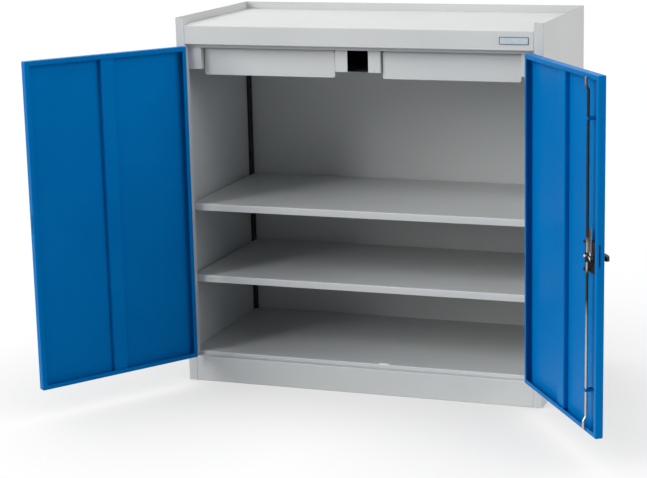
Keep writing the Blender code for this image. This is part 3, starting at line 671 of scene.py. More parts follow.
# Black-oxide turned steel: dark with a soft metal sheen.
BLACK_STEEL = Finish("black_oxide_turned_steel", "black_plastic", "#232426", "#18191A", (0.30, 0.42),
                     metallic=0.5, cloud_mm=30.0, grain_mm=1.2, grain_depth_mm=0.01)
# Extruded polystyrene frame of the label holder: thin, dull and dark.
LABEL_FRAME = Finish("label_frame_polystyrene_extruded", "label", "#565C63", "#4E545B", (0.35, 0.5),
                     cloud_mm=20.0, grain_mm=1.2, grain_depth_mm=0.01)
# Blank coated card behind the holder's window: pale and cool with a faint paper tooth.
LABEL_CARD = Finish("blank_card_coated", "label", "#B9C6D0", "#AEBCC7", (0.30, 0.42),
                    cloud_mm=25.0, grain_mm=0.9, grain_depth_mm=0.008)
# Moulded acetal of the slot bush, drawn milky white and waxy as a painted highlight: the bright speck at the
# rod's slot.
WHITE_ACETAL_HIGHLIGHT = Finish("white_acetal_moulded", "label", "#F1F1EE", "#E9E9E5", (0.30, 0.42),
                      cloud_mm=15.0, grain_mm=0.8, grain_depth_mm=0.008)


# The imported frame

class Rig:
    """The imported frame, with every body's way between its rest and the shut pose."""

    def __init__(self, packed: dict) -> None:
        """Read the joints.
        """
        self.nodes = packed["nodes"]
        self.joints = {joint["child"]: joint for joint in packed["joints"]}
        self.node_body = {
            node: body for body, nodes in packed["record"]["behaviour"]["bodies"].items() for node in nodes}

    def drawn_value(self, joint: dict) -> float:
        """Value of a joint in the shut pose: doors at their low limit, lock and rods thrown.

        Args:
            joint: the joint as the frame lists it.

        Returns:
            Its value in radians or metres.
        """
        if joint["parent"] != Body.CABINET.value:
            return math.radians(joint["range_deg"][1]) if joint["type"] == "hinge" else joint["range_m"][1]
        return math.radians(joint["range_deg"][0]) if joint["type"] == "hinge" else 0.0

    def step(self, joint: dict, points: np.ndarray, sign: float) -> np.ndarray:
        """Points moved by one joint.

        Args:
            joint: the joint as the frame lists it.
            points: the points before.
            sign: 1 towards the shut pose, -1 back to rest.

        Returns:
            The points after.
        """
        value = sign * self.drawn_value(joint)
        axis = Vector(joint["axis"])
        if joint["type"] == "slide":
            return points + np.array(axis * value)
        turn = np.array(Matrix.Rotation(value, 3, axis))
        centre = np.array(joint["pos_m"])
        return (points - centre) @ turn.T + centre

    def to_rest(self, body: str, points: np.ndarray) -> np.ndarray:
        """Points drawn in the shut pose, where their body rests.

        Args:
            body: the body's name.
            points: the points as drawn.

        Returns:
            The points at rest.
        """
        joint = self.joints.get(body)
        if joint is None:
            return points
        return self.step(joint, self.to_rest(joint["parent"], points), -1.0)

    def to_shut(self, body: str, points: np.ndarray) -> np.ndarray:
        """Points of a body at rest, in the shut pose.

        Args:
            body: the body's name.
            points: the points at rest.

        Returns:
            The points with everything shut.
        """
        joint = self.joints.get(body)
        if joint is None:
            return points
        return self.to_shut(joint["parent"], self.step(joint, points, 1.0))

    def box(self, node: str) -> Box:
        """Box of a node in the shut pose.

        Args:
            node: the node's name.

        Returns:
            Its lowest and highest corner.
        """
        mesh = self.nodes[node].data
        points = np.zeros(len(mesh.vertices) * 3, np.float32)
        mesh.vertices.foreach_get("co", points)
        points = self.to_shut(self.node_body[node], points.reshape(-1, 3).astype(float))
        return Box(points.min(axis=0), points.max(axis=0))

    def add(self, name: str, shape: Shape, finish: Finish, body: Body, replaces: Sequence[str] = (),
            sheet: float = 0.0) -> None:
        """Put a finished piece on its body.

        Args:
            name: the piece's name.
            shape: its surface, drawn in the shut pose.
            finish: its material.
            body: the body that it rides on.
            replaces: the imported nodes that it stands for.
            sheet: thickness to give to a sheet's middle surface, or 0 for a closed solid.
        """
        mesh = bpy.data.meshes.new(name)
        points = self.to_rest(body.value, shape.points)
        mesh.from_pydata(points.tolist(), [], shape.quads.tolist() + [cap.tolist() for cap in shape.caps])
        mesh.validate()
        mesh.materials.append(finish.material())
        mesh.shade_smooth()
        mesh.set_sharp_from_angle(angle=SHARP_ANGLE)
        item = bpy.data.objects.new(name, mesh)
        bpy.context.scene.collection.objects.link(item)
        if sheet:
            wall = item.modifiers.new("sheet", "SOLIDIFY")
            wall.thickness = sheet
            wall.offset = 0.0
            wall.use_even_offset = True
        flat = item.modifiers.new("flat_faces", "WEIGHTED_NORMAL")
        flat.keep_sharp = True
        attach(item, body.value)
        if replaces:
            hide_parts(*replaces)
        LOG.info("%s on %s: %d faces", name, body.value, len(mesh.polygons))

    def dress(self, node: str, finish: Finish) -> None:
        """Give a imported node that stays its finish.

        Args:
            node: the node's name.
            finish: its material.
        """
        mesh = self.nodes[node].data
        mesh.materials.clear()
        mesh.materials.append(finish.material())
        LOG.info("%s keeps its solid", node)


# Sub-assemblies

@dataclass
class Carcass:
    """Fixed sheet metal: sides, back, top, plinth, floor and the label holder.

    The profiles of the bush and of the label's frame are pairs of inset and height, in rims for the bush,
    and in rims and the holder's depth for the frame.
    """

    rig: Rig
    sheet: float = SHEET
    bend: float = 0.0015
    stile_bends: tuple[float, float, float] = (0.0008, 0.0024, 0.0015)
    stile: float = 0.025
    stile_return: float = 0.025
    rear_return: float = 0.015
    fascia: float = 0.050
    rebate: float = 0.0205
    notch: float = 0.0253
    label_rim: float = 0.0018
    label_profile: tuple[tuple[float, float], ...] = (
        (0.0, 0.0), (0.0, 0.75), (0.25, 1.0), (0.75, 1.0), (1.0, 0.75), (1.0, 0.0))
    card_inset: float = 0.9
    card_recess: float = 0.0006
    slot_width: float = 0.030
    bush_rim: float = 0.0014
    bush_profile: tuple[tuple[float, float], ...] = (
        (0.0, -2.0), (0.0, 0.3), (0.4, 0.6), (1.4, 0.6), (1.8, 0.3), (1.8, -2.0))

    def side_panel(self, side: Side) -> None:
        """Side wall with the front stile folded back and a return at the rear, one sheet.

        Args:
            side: the side that it closes.
        """
        node = f"{side.word}_side_panel"
        box = self.rig.box(node)
        half = self.sheet / 2
        outer = box.across[1]
        inner = outer - self.stile + half
        front, back = box.low[1] + half, box.high[1] - half
        path = bent_path([
            (inner, front - half + self.stile_return), (inner, front), (outer - half, front),
            (outer - half, back), (outer - self.rear_return, back)], self.stile_bends)
        shape = mirrored(folded(path, box.span("z"), "xyz"), side)
        self.rig.add(f"{node}_sheet", shape, GREY_COAT, Body.CABINET, [node], self.sheet)

    def back_panel(self) -> None:
        """Flat back that rises above the top as the rear rim."""
        box = self.rig.box("back_panel")
        path = np.array([(x, box.middle[1]) for x in box.span("x")])
        shape = folded(path, box.span("z"), "xyz")
        self.rig.add("back_panel_sheet", shape, GREY_COAT, Body.CABINET, ["back_panel"], self.sheet)

    def notched(self, shape: Shape, box: Box, rear: float) -> Shape:
        """Sheet that leaves room for the stiles at its front corners.

        Args:
            shape: the sheet, whose grid lines run along the notches' edges.
            box: the sheet's node.
            rear: y of the notches' rear edge.

        Returns:
            The sheet with both notches.
        """
        inner = self.rig.box("plinth").high[0]
        for low, high in ((box.low[0], -inner), (inner, box.high[0])):
            shape = without(shape, (low, box.low[1] - self.sheet, box.low[2] - self.sheet),
                            (high, rear, box.high[2] + self.sheet))
        return shape

    def top_tray(self) -> None:
        """Top, fascia, under-return and the rail that the doors close against, notched at the stiles."""
        box = self.rig.box("top_tray")
        inner = self.rig.box("plinth").high[0]
        half = self.sheet / 2
        top, front = box.high[2] - half, box.low[1] + half
        under = box.high[2] - self.fascia + half
        rail = box.low[1] + self.rebate + half
        notch = box.low[1] + self.notch
        path = bent_path([
            (box.high[1], top), (notch, top), (front, top), (front, under), (rail, under),
            (rail, box.low[2])], self.bend)
        shape = self.notched(folded(path, (box.low[0], -inner, inner, box.high[0]), "yzx"), box, notch)
        self.rig.add("top_tray_sheet", shape, GREY_COAT, Body.CABINET, ["top_tray"], self.sheet)

    def plinth(self) -> None:
        """Plinth front with a ledge behind the doors and a flange on the ground."""
        box = self.rig.box("plinth")
        half = self.sheet / 2
        front, foot, ledge = box.low[1] + half, box.low[2] + half, box.high[2] - half
        path = bent_path([
            (box.high[1], foot), (front, foot), (front, ledge),
            (box.low[1] + self.rebate - GAP, ledge)], self.bend)
        shape = folded(path, box.span("x"), "yzx")
        self.rig.add("plinth_sheet", shape, GREY_COAT, Body.CABINET, ["plinth"], self.sheet)

    def rod_slot(self) -> Box:
        """Opening in the floor that the lower rod's tip drops into.

        Returns:
            Its corners, at the height of the floor's top.
        """
        floor = self.rig.box("floor_panel")
        middle = self.rig.box("lock_rose").middle[0]
        rod = self.rig.box("lower_rod")
        half = self.slot_width / 2
        return Box(np.array((middle - half, floor.low[1] + self.sheet, floor.high[2])),
                   np.array((middle + half, rod.high[1] + self.sheet, floor.high[2])))

    def floor_panel(self) -> None:
        """Floor pan with a front lip, notched at the stiles, and the lower rod's slot with its bush."""
        box = self.rig.box("floor_panel")
        inner = self.rig.box("plinth").high[0]
        slot = self.rod_slot()
        half = self.sheet / 2
        top, front, rear = box.high[2] - half, box.low[1] + half, box.high[1] - half
        notch = box.low[1] + self.notch - self.rebate
        cuts = [(y, top) for y in sorted((notch, slot.high[1]))]
        path = bent_path([
            (front, box.low[2]), (front, top), *cuts, (rear, top), (rear, box.low[2])], self.bend)
        shape = folded(path, (box.low[0], -inner, slot.low[0], slot.high[0], inner, box.high[0]), "yzx")
        shape = self.notched(shape, box, notch)
        shape = without(shape, (slot.low[0], front + self.bend, top - self.sheet),
                        (slot.high[0], slot.high[1], top + self.sheet))
        self.rig.add("floor_panel_sheet", shape, GREY_COAT, Body.CABINET, ["floor_panel"], self.sheet)
        # The bush is drawn white as a painted highlight, the bright speck at the front of the rod's slot.
        insets, heights = np.array(self.bush_profile).T * self.bush_rim
        low, high = slot.low[:2] - self.bush_rim / 2, slot.high[:2] + self.bush_rim
        bush = border(low, high, insets, box.high[2] + heights, "xyz", (high[1] - low[1]) / 2)
        self.rig.add("rod_slot_bush", bush, WHITE_ACETAL_HIGHLIGHT, Body.CABINET)

    def label_holder(self) -> None:
        """Blank label holder: a thin dark frame round a pale card."""
        box = self.rig.box("label_holder")
        rim = self.label_rim
        insets, rise = np.array(self.label_profile).T
        depths = box.high[1] - rise * (box.high[1] - box.low[1])
        holder = border(box.low[[0, 2]], box.high[[0, 2]], insets * rim, depths, "xzy", rim)
        self.rig.add("label_holder_frame", holder, LABEL_FRAME, Body.CABINET, ["label_holder"])
        inset = np.array((rim, 0.0, rim)) * self.card_inset
        face = np.array((0.0, self.card_recess, 0.0))
        card = block(box.low + inset + face, box.high - inset, "y", rim / 2, rim / 8)
        self.rig.add("label_card", card, LABEL_CARD, Body.CABINET)

    def build(self) -> None:
        """Build every fixed sheet."""
        for side in Side:
            self.side_panel(side)
        self.back_panel()
        self.top_tray()
        self.plinth()
        self.floor_panel()
        self.label_holder()


@dataclass
class Shelving:
    """Two shelf pans on slotted rails, with zinc clips."""

    rig: Rig
    sheet: float = SHEET
    bend: float = 0.0024
    corner: float = 0.003
    rail_bend: float = 0.0018
    slot_first: float = 0.104
    slot_pitch: float = 0.040
    slot_width: float = 0.004
    slot_height: float = 0.014

    def shelf(self, node: str) -> None:
        """Shelf pan, folded down on all four sides.

        Args:
            node: the shelf's node.
        """
        box = self.rig.box(node)
        half = self.sheet / 2
        profile = pan_profile(half, box.low[2], box.high[2] - half, self.bend)
        shape = pan(box.low[:2], box.high[:2], profile, "xyz", self.corner)
        self.rig.add(f"{node}_pan", shape, GREY_COAT, Body.CABINET, [node], self.sheet)

    def rail(self, side: Side, place: str) -> None:
        """Slotted channel on a side wall, drawn near-black: a dark line in the corner.

        Args:
            side: the wall that holds it.
            place: "front" or "rear".
        """
        node = f"{side.word}_{place}_rail"
        box = self.rig.box(node)
        half = self.sheet / 2
        face, wall = box.across
        near, far = box.low[1] + half, box.high[1] - half
        start, end = box.middle[1] - self.slot_width / 2, box.middle[1] + self.slot_width / 2
        web = face + half
        path = bent_path([
            (wall, near), (web, near), (web, start), (web, end), (web, far), (wall, far)], self.rail_bend)
        feet = np.arange(self.slot_first, box.high[2] - self.slot_height, self.slot_pitch)
        levels = np.stack([feet, feet + self.slot_height], axis=1)
        shape = folded(path, [box.low[2], *levels.ravel(), box.high[2]], "xyz")
        for foot, head in levels:
            shape = without(shape, (web - half, start, foot), (web + half, end, head))
        self.rig.add(f"{node}_channel", mirrored(shape, side), DARK_STEEL_AND_SHADE, Body.CABINET, [node], self.sheet)

    def build(self) -> None:
        """Build shelves and rails, and finish the clips."""
        corners = [(side, place) for side in Side for place in ("front", "rear")]
        for level in ("lower", "upper"):
            self.shelf(f"{level}_shelf")
            for side, place in corners:
                self.rig.dress(f"{level}_{side.word}_{place}_clip", SATIN_ZINC)
        for side, place in corners:
            self.rail(side, place)


@dataclass
class Drawers:
    """Two drawers, the channel between them, their brackets and telescopic slides.

    The lips' bends are shares of the slides' bend, the foot of the arm, whose lower part is painted shade on
    the channel's web, is a share of half the window between the lips, and the screw's profile is in shares of
    its radius and rise.
    """

    rig: Rig
    sheet: float = SHEET
    bend: float = 0.0014
    mouth: float = 0.057
    skin: float = 0.0002
    drawer_sheet: float = 0.001
    front_corner: float = 0.006
    front_bend: float = 0.0012
    box_corner: float = 0.003
    slide_bend: float = 0.0016
    slide_lip: float = 0.0135
    lip_bends: tuple[float, ...] = (0.4, 0.4, 0.7, 0.7)
    bead_height: float = 0.0046
    bead_step: float = 0.0008
    stop_back: float = 0.095
    stop_length: float = 0.023
    stop_clear: float = 0.0005
    lever_back: float = 0.150
    lever_waist: float = 0.0065
    lever_flare: float = 0.012
    lever_depth: float = 0.0048
    lever_rows: int = 13
    arm_foot: float = -0.55
    arm_depth: float = 0.0044
    arm_length: float = 0.118
    arm_corner: float = 0.0008
    screw_radius: float = 0.0036
    screw_rise: float = 0.0014
    screw_back: float = 0.006
    screw_profile: tuple[tuple[float, float], ...] = (
        (1.0, 0.0), (1.0, 0.4), (0.8, 0.85), (0.45, 1.0), (0.4, 0.6), (0.1, 0.6))

    def divider(self) -> None:
        """Box section between the drawers: a wrapped sheet with two flanges at its mouth, its bottom, and a
        near-black lining inside that paints the shade in its mouth.
        """
        box = self.rig.box("drawer_divider")
        half, skin = self.sheet / 2, self.skin
        wide, front, rear = box.high[0] - half, box.low[1] + half, box.high[1] - half
        right = [(self.mouth / 2, front), (wide, front), (wide, rear)]
        left = [(-x, y) for x, y in reversed(right)]
        wrap = folded(bent_path(right + left, self.bend), box.span("z"), "xyz")
        self.rig.add("drawer_divider_wrap", wrap, GREY_COAT, Body.CABINET, ["drawer_divider"], self.sheet)
        inside = wide - self.sheet
        edges = np.array([(-inside, box.low[2] + half), (inside, box.low[2] + half)])
        bottom = folded(edges, (front + self.sheet, rear - self.sheet), "xzy")
        self.rig.add("drawer_divider_bottom", bottom, GREY_COAT, Body.CABINET, (), self.sheet)
        # Painted shade: a near-black lining just inside the box section darkens its mouth between the
        # drawers.
        wall, floor, ceiling = wide - half - skin, box.low[2] + self.sheet + skin, box.high[2]
        near, far = front + half + skin, rear - half - skin
        around = np.array([(-wall, ceiling), (-wall, floor), (wall, floor), (wall, ceiling)])
        end = folded(np.array([(-wall, far), (wall, far)]), (floor, ceiling), "xyz")
        painted_shade_lining = joined([folded(around, (near, far), "xzy"), end])
        self.rig.add("drawer_divider_inside", painted_shade_lining, DARK_STEEL_AND_SHADE, Body.CABINET, (), skin)

    def bracket(self, side: Side) -> None:
        """Sheet bracket that carries a slide beside the wall.

        Args:
            side: the wall's side.
        """
        node = f"{side.word}_slide_bracket"
        box = self.rig.box(node)
        half = self.sheet / 2
        face, wall = box.across
        stile = self.rig.box("plinth").high[0]
        front, rear = box.low[1] + half, box.high[1] - half
        path = bent_path([(stile, front), (face + half, front), (face + half, rear), (wall, rear)], self.bend)
        shape = mirrored(folded(path, box.span("z"), "xyz"), side)
        self.rig.add(f"{node}_sheet", shape, GREY_COAT, Body.CABINET, [node], self.sheet)

    def drawer(self, side: Side) -> None:
        """Drawer tray and its plain front with rounded corners.

        Args:
            side: the drawer's side.
        """
        node = f"{side.word}_drawer_box"
        box = self.rig.box(node)
        half = self.drawer_sheet / 2
        profile = pan_profile(half, box.high[2], box.low[2] + half, self.bend)
        shape = pan(box.low[:2], box.high[:2], profile, "xyz", self.box_corner)
        self.rig.add(f"{node}_tray", shape, GREY_COAT, side.drawer, [node], self.drawer_sheet)
        node = f"{side.word}_drawer_front"
        box = self.rig.box(node)
        profile = pan_profile(half, box.high[1], box.low[1] + half, self.front_bend)
        shape = pan(box.low[[0, 2]], box.high[[0, 2]], profile, "xzy", self.front_corner)
        self.rig.add(f"{node}_panel", shape, GREY_COAT, side.drawer, [node], self.drawer_sheet)

    def slide(self, side: Side, place: str) -> None:
        """One slide: the drawer's lipped channel, the middle member in it, the fixed one between the lips.

        Args:
            side: the drawer's side.
            place: "inner" or "outer", the slide's place on that drawer.
        """
        name = f"{side.word}_{place}_slide"
        boxes = {member: self.rig.box(f"{name}_{member}") for member in ("fixed", "middle", "drawer")}
        outward = math.copysign(1.0, boxes["fixed"].middle[0] - boxes["drawer"].middle[0])
        half = self.sheet / 2
        edges = {}
        for member, box in boxes.items():
            mount, far = box.span("x") if outward < 0 else reversed(box.span("x"))
            edges[member] = (mount - outward * half, far, box.low[2] + half, box.high[2] - half)
        self.strip(f"{name}_fixed", edges["fixed"], Body.CABINET)
        self.stop(side, name, boxes, outward)
        self.strip(f"{name}_middle", edges["middle"], side.slides)
        lip, web, low, high = edges["drawer"]
        web += outward * half
        bead, step = lip + outward * self.bead_step, self.bead_height
        reach = self.slide_lip - half
        floor = 2 * self.slide_bend
        edge = [(lip, reach), (lip, step + self.bead_step), (bead, step), (bead, 0.0), (web, 0.0),
                (web, floor)]
        lips = [[(x, low + z) for x, z in edge], [(x, high - z) for x, z in reversed(edge)]]
        radii = self.slide_bend * np.array(self.lip_bends)
        ends = boxes["drawer"].span("y")
        channel = joined(folded(bent_path(path, turns), ends, "xzy")
                         for path, turns in zip(lips, (radii, radii[::-1])))
        self.rig.add(f"{name}_drawer_lips", channel, SATIN_ZINC, side.drawer, [f"{name}_drawer"], self.sheet)
        plate = folded(np.array([(web, low + floor), (web, high - floor)]), ends, "xzy")
        self.rig.add(f"{name}_drawer_floor", plate, BRIGHT_ZINC, side.drawer, (), self.sheet)
        self.lever(side, name, boxes["drawer"], outward)
        self.screw(side, name, boxes["drawer"], outward)

    def strip(self, node: str, edges: tuple[float, float, float, float], body: Body) -> None:
        """Folded strip member of a slide, in place of its node.

        Args:
            node: the member's node.
            edges: x of its web and of its flanges' tips, z of its lower and upper flange.
            body: the body that it rides on.
        """
        web, tip, low, high = edges
        path = bent_path([(tip, low), (web, low), (web, high), (tip, high)], self.slide_bend / 2)
        shape = folded(path, self.rig.box(node).span("y"), "xzy")
        self.rig.add(f"{node}_strip", shape, SATIN_ZINC, body, [node], self.sheet)

    def stop(self, side: Side, name: str, boxes: dict[str, Box], outward: float) -> None:
        """Black stop on the middle member's back, which runs inside the fixed member's channel.

        Args:
            side: the drawer's side.
            name: the slide's name.
            boxes: the slide's members.
            outward: sign of x from the drawer towards the fixed member.
        """
        fixed, middle = boxes["fixed"], boxes["middle"]
        inset = self.sheet + self.stop_clear
        low, high = fixed.low + inset, fixed.high - inset
        back = middle.high[0] if outward > 0 else middle.low[0]
        low[0], high[0] = np.sort([back, (high if outward > 0 else low)[0]])
        low[1] = middle.low[1] + self.stop_back
        high[1] = low[1] + self.stop_length
        plug = block(low, high, "y", self.arm_corner, self.arm_corner / 2)
        self.rig.add(f"{name}_end_stop", plug, BLACK_NYLON, side.slides)

    def channel_floor(self, member: Box, outward: float) -> float:
        """Place across of the floor of the drawer member's channel."""
        return (member.high[0] if outward < 0 else member.low[0]) + outward * self.sheet

    def lever(self, side: Side, name: str, member: Box, outward: float) -> None:
        """Black release lever, waisted like an X, with its arm along the channel; the arm's lower part is
        painted shade on the web.

        The lever's two edges bow away from its waist with the square of the height.

        Args:
            side: the drawer's side.
            name: the slide's name.
            member: the drawer's member.
            outward: sign of x from the drawer towards the fixed member.
        """
        floor = self.channel_floor(member, outward)
        middle = member.middle[2]
        start = member.low[1] + self.lever_back
        window = (member.high[2] - member.low[2]) / 2 - self.slide_lip
        height = np.linspace(-window, window, self.lever_rows)
        width = self.lever_waist + self.lever_flare * (height / window) ** 2
        rings = np.zeros((len(height), 4, 3))
        rings[..., 0] = floor + outward * self.lever_depth * np.array([0.0, 0.0, 1.0, 1.0])
        rings[..., 1] = start + width[:, None] * np.array([-1.0, 1.0, 1.0, -1.0]) * outward
        rings[..., 2] = middle + height[:, None]
        # The arm's black reaches down most of the window: its lower part is painted shade on the channel's
        # web.
        arm_low = (floor, start, middle + window * self.arm_foot)
        arm_high = (floor + outward * self.arm_depth, start + self.arm_length, middle + window)
        arm = block(arm_low, arm_high, "x", self.arm_corner, self.arm_corner / 2)
        self.rig.add(f"{name}_release_lever", joined([lofted(rings), arm]), BLACK_NYLON, side.drawer)

    def screw(self, side: Side, name: str, member: Box, outward: float) -> None:
        """Round screw head with a recess, near the front of the channel's floor.

        Args:
            side: the drawer's side.
            name: the slide's name.
            member: the drawer's member.
            outward: sign of x from the drawer towards the fixed member.
        """
        profile = np.array(self.screw_profile) * (self.screw_radius, self.screw_rise)
        head = mirrored(turned(profile, np.zeros(3), "x"), Side.LEFT if outward < 0 else Side.RIGHT)
        centre = (self.channel_floor(member, outward), member.low[1] + self.screw_back, member.middle[2])
        head = Shape(head.points + centre, head.quads, head.caps)
        self.rig.add(f"{name}_screw", head, BRIGHT_ZINC, side.drawer)

    def build(self) -> None:
        """Build the channel, brackets, drawers and slides."""
        self.divider()
        for side in Side:
            self.bracket(side)
            self.drawer(side)
            for place in ("inner", "outer"):
                self.slide(side, place)


@dataclass
class Doors:
    """Two door leaves with lips, stiffeners and barrel hinges."""

    rig: Rig
    sheet: float = SHEET
    bend: float = 0.0022
    corner: float = 0.0035
    lip: float = 0.012
    stiffener_bend: float = 0.0028
    tongue: float = TONGUE_WIDTH
    tongue_clear: float = 0.0015
    cam_sheet: float = CAM_SHEET
    cam_stand: float = 0.0103
    barrel: float = 0.0055
    barrel_edge: float = 0.0008
    plate_thickness: float = 0.0025
    plate_width: float = 0.018
    plate_corner: float = 0.0015
    plate_edge: float = 0.0005

    def tongue_window(self) -> Box:
        """Slot in a free edge that the lock's tongue passes, as the frame's right leaf has it.

        The tongue's corner sweeps a circle about the spindle, and the slot reaches as high as that circle
        does at the edge.

        Returns:
            The slot's corners in the right leaf.
        """
        spindle = self.rig.box("lock_rose").middle
        edge = self.rig.box("right_door").low
        half, clear = self.tongue / 2, self.tongue_clear
        reach = math.hypot(spindle[0] - self.rig.box("lock_cam").low[0], half)
        rise = math.sqrt(reach ** 2 - (spindle[0] - edge[0] - self.sheet) ** 2)
        plate = self.rig.box("lock_case").low[1] + self.cam_stand
        low = (edge[0], plate - clear / 2, spindle[2] - half - clear)
        high = (edge[0] + self.sheet, plate + self.cam_sheet + clear / 2, spindle[2] + rise + clear)
        return Box(np.array(low), np.array(high))

    def leaf(self, side: Side) -> None:
        """Door leaf: a pan with return lips all round and the tongue's slot in its free edge.

        Args:
            side: the leaf's side.
        """
        node = f"{side.word}_door"
        box = self.rig.box(node)
        near, far = box.across
        half = self.sheet / 2
        window = self.tongue_window()
        front, rear = box.low[1] + half, box.high[1] - half
        profile = bent_path([
            (self.lip, rear), (half, rear), (half, window.high[1]), (half, window.low[1]), (half, front),
            (FLAT_RUN * self.bend, front)], self.bend)
        shape = pan((near, box.low[2]), (far, box.high[2]), profile, "xzy", self.corner, window.span("z"))
        shape = without(shape, (near, *window.low[1:]), (near + self.sheet, *window.high[1:]))
        self.rig.add(f"{node}_leaf", mirrored(shape, side), BLUE_COAT, side.door, [node], self.sheet)

    def stiffener(self, side: Side) -> None:
        """Channel down the middle of a leaf.

        Args:
            side: the leaf's side.
        """
        node = f"{side.word}_door_stiffener"
        box = self.rig.box(node)
        half = self.sheet / 2
        near, far = box.across + np.array((half, -half))
        foot, crest = box.low[1], box.high[1] - half
        path = bent_path([(near, foot), (near, crest), (far, crest), (far, foot)], self.stiffener_bend)
        shape = mirrored(folded(path, box.span("z"), "xyz"), side)
        self.rig.add(f"{node}_channel", shape, BLUE_COAT, side.door, [node], self.sheet)

    def hinge(self, side: Side, level: str) -> None:
        """Barrel hinge: the lower half on the stile, the upper half on the leaf.

        Args:
            side: the leaf's side.
            level: "lower" or "upper", the hinge's place on the leaf.
        """
        name = f"{side.word}_{level}_hinge"
        axis = self.rig.joints[side.door.value]["pos_m"]
        foot, head = self.rig.box(f"{name}_leaf").span("z")
        tall = head - foot
        seat = self.rig.box("right_door").low[1] - GAP
        halves = (("fixed", 1.0, foot - GAP - tall, GREY_COAT, Body.CABINET),
                  ("leaf", -1.0, foot, BLUE_COAT, side.door))
        for half, toward, low, finish, body in halves:
            profile = bevelled(self.barrel, 0.0, tall, self.barrel_edge)
            barrel = turned(profile, (axis[0], axis[1], low), "z")
            end = axis[0] + side.value * toward * self.plate_width
            plate = block((axis[0], seat - self.plate_thickness, low), (end, seat, low + tall), "y",
                          self.plate_corner, self.plate_edge)
            node = f"{name}_{half}"
            self.rig.add(f"{node}_knuckle", joined([barrel, plate]), finish, body, [node])

    def build(self) -> None:
        """Build both leaves."""
        for side in Side:
            self.leaf(side)
            self.stiffener(side)
            for level in ("lower", "upper"):
                self.hinge(side, level)


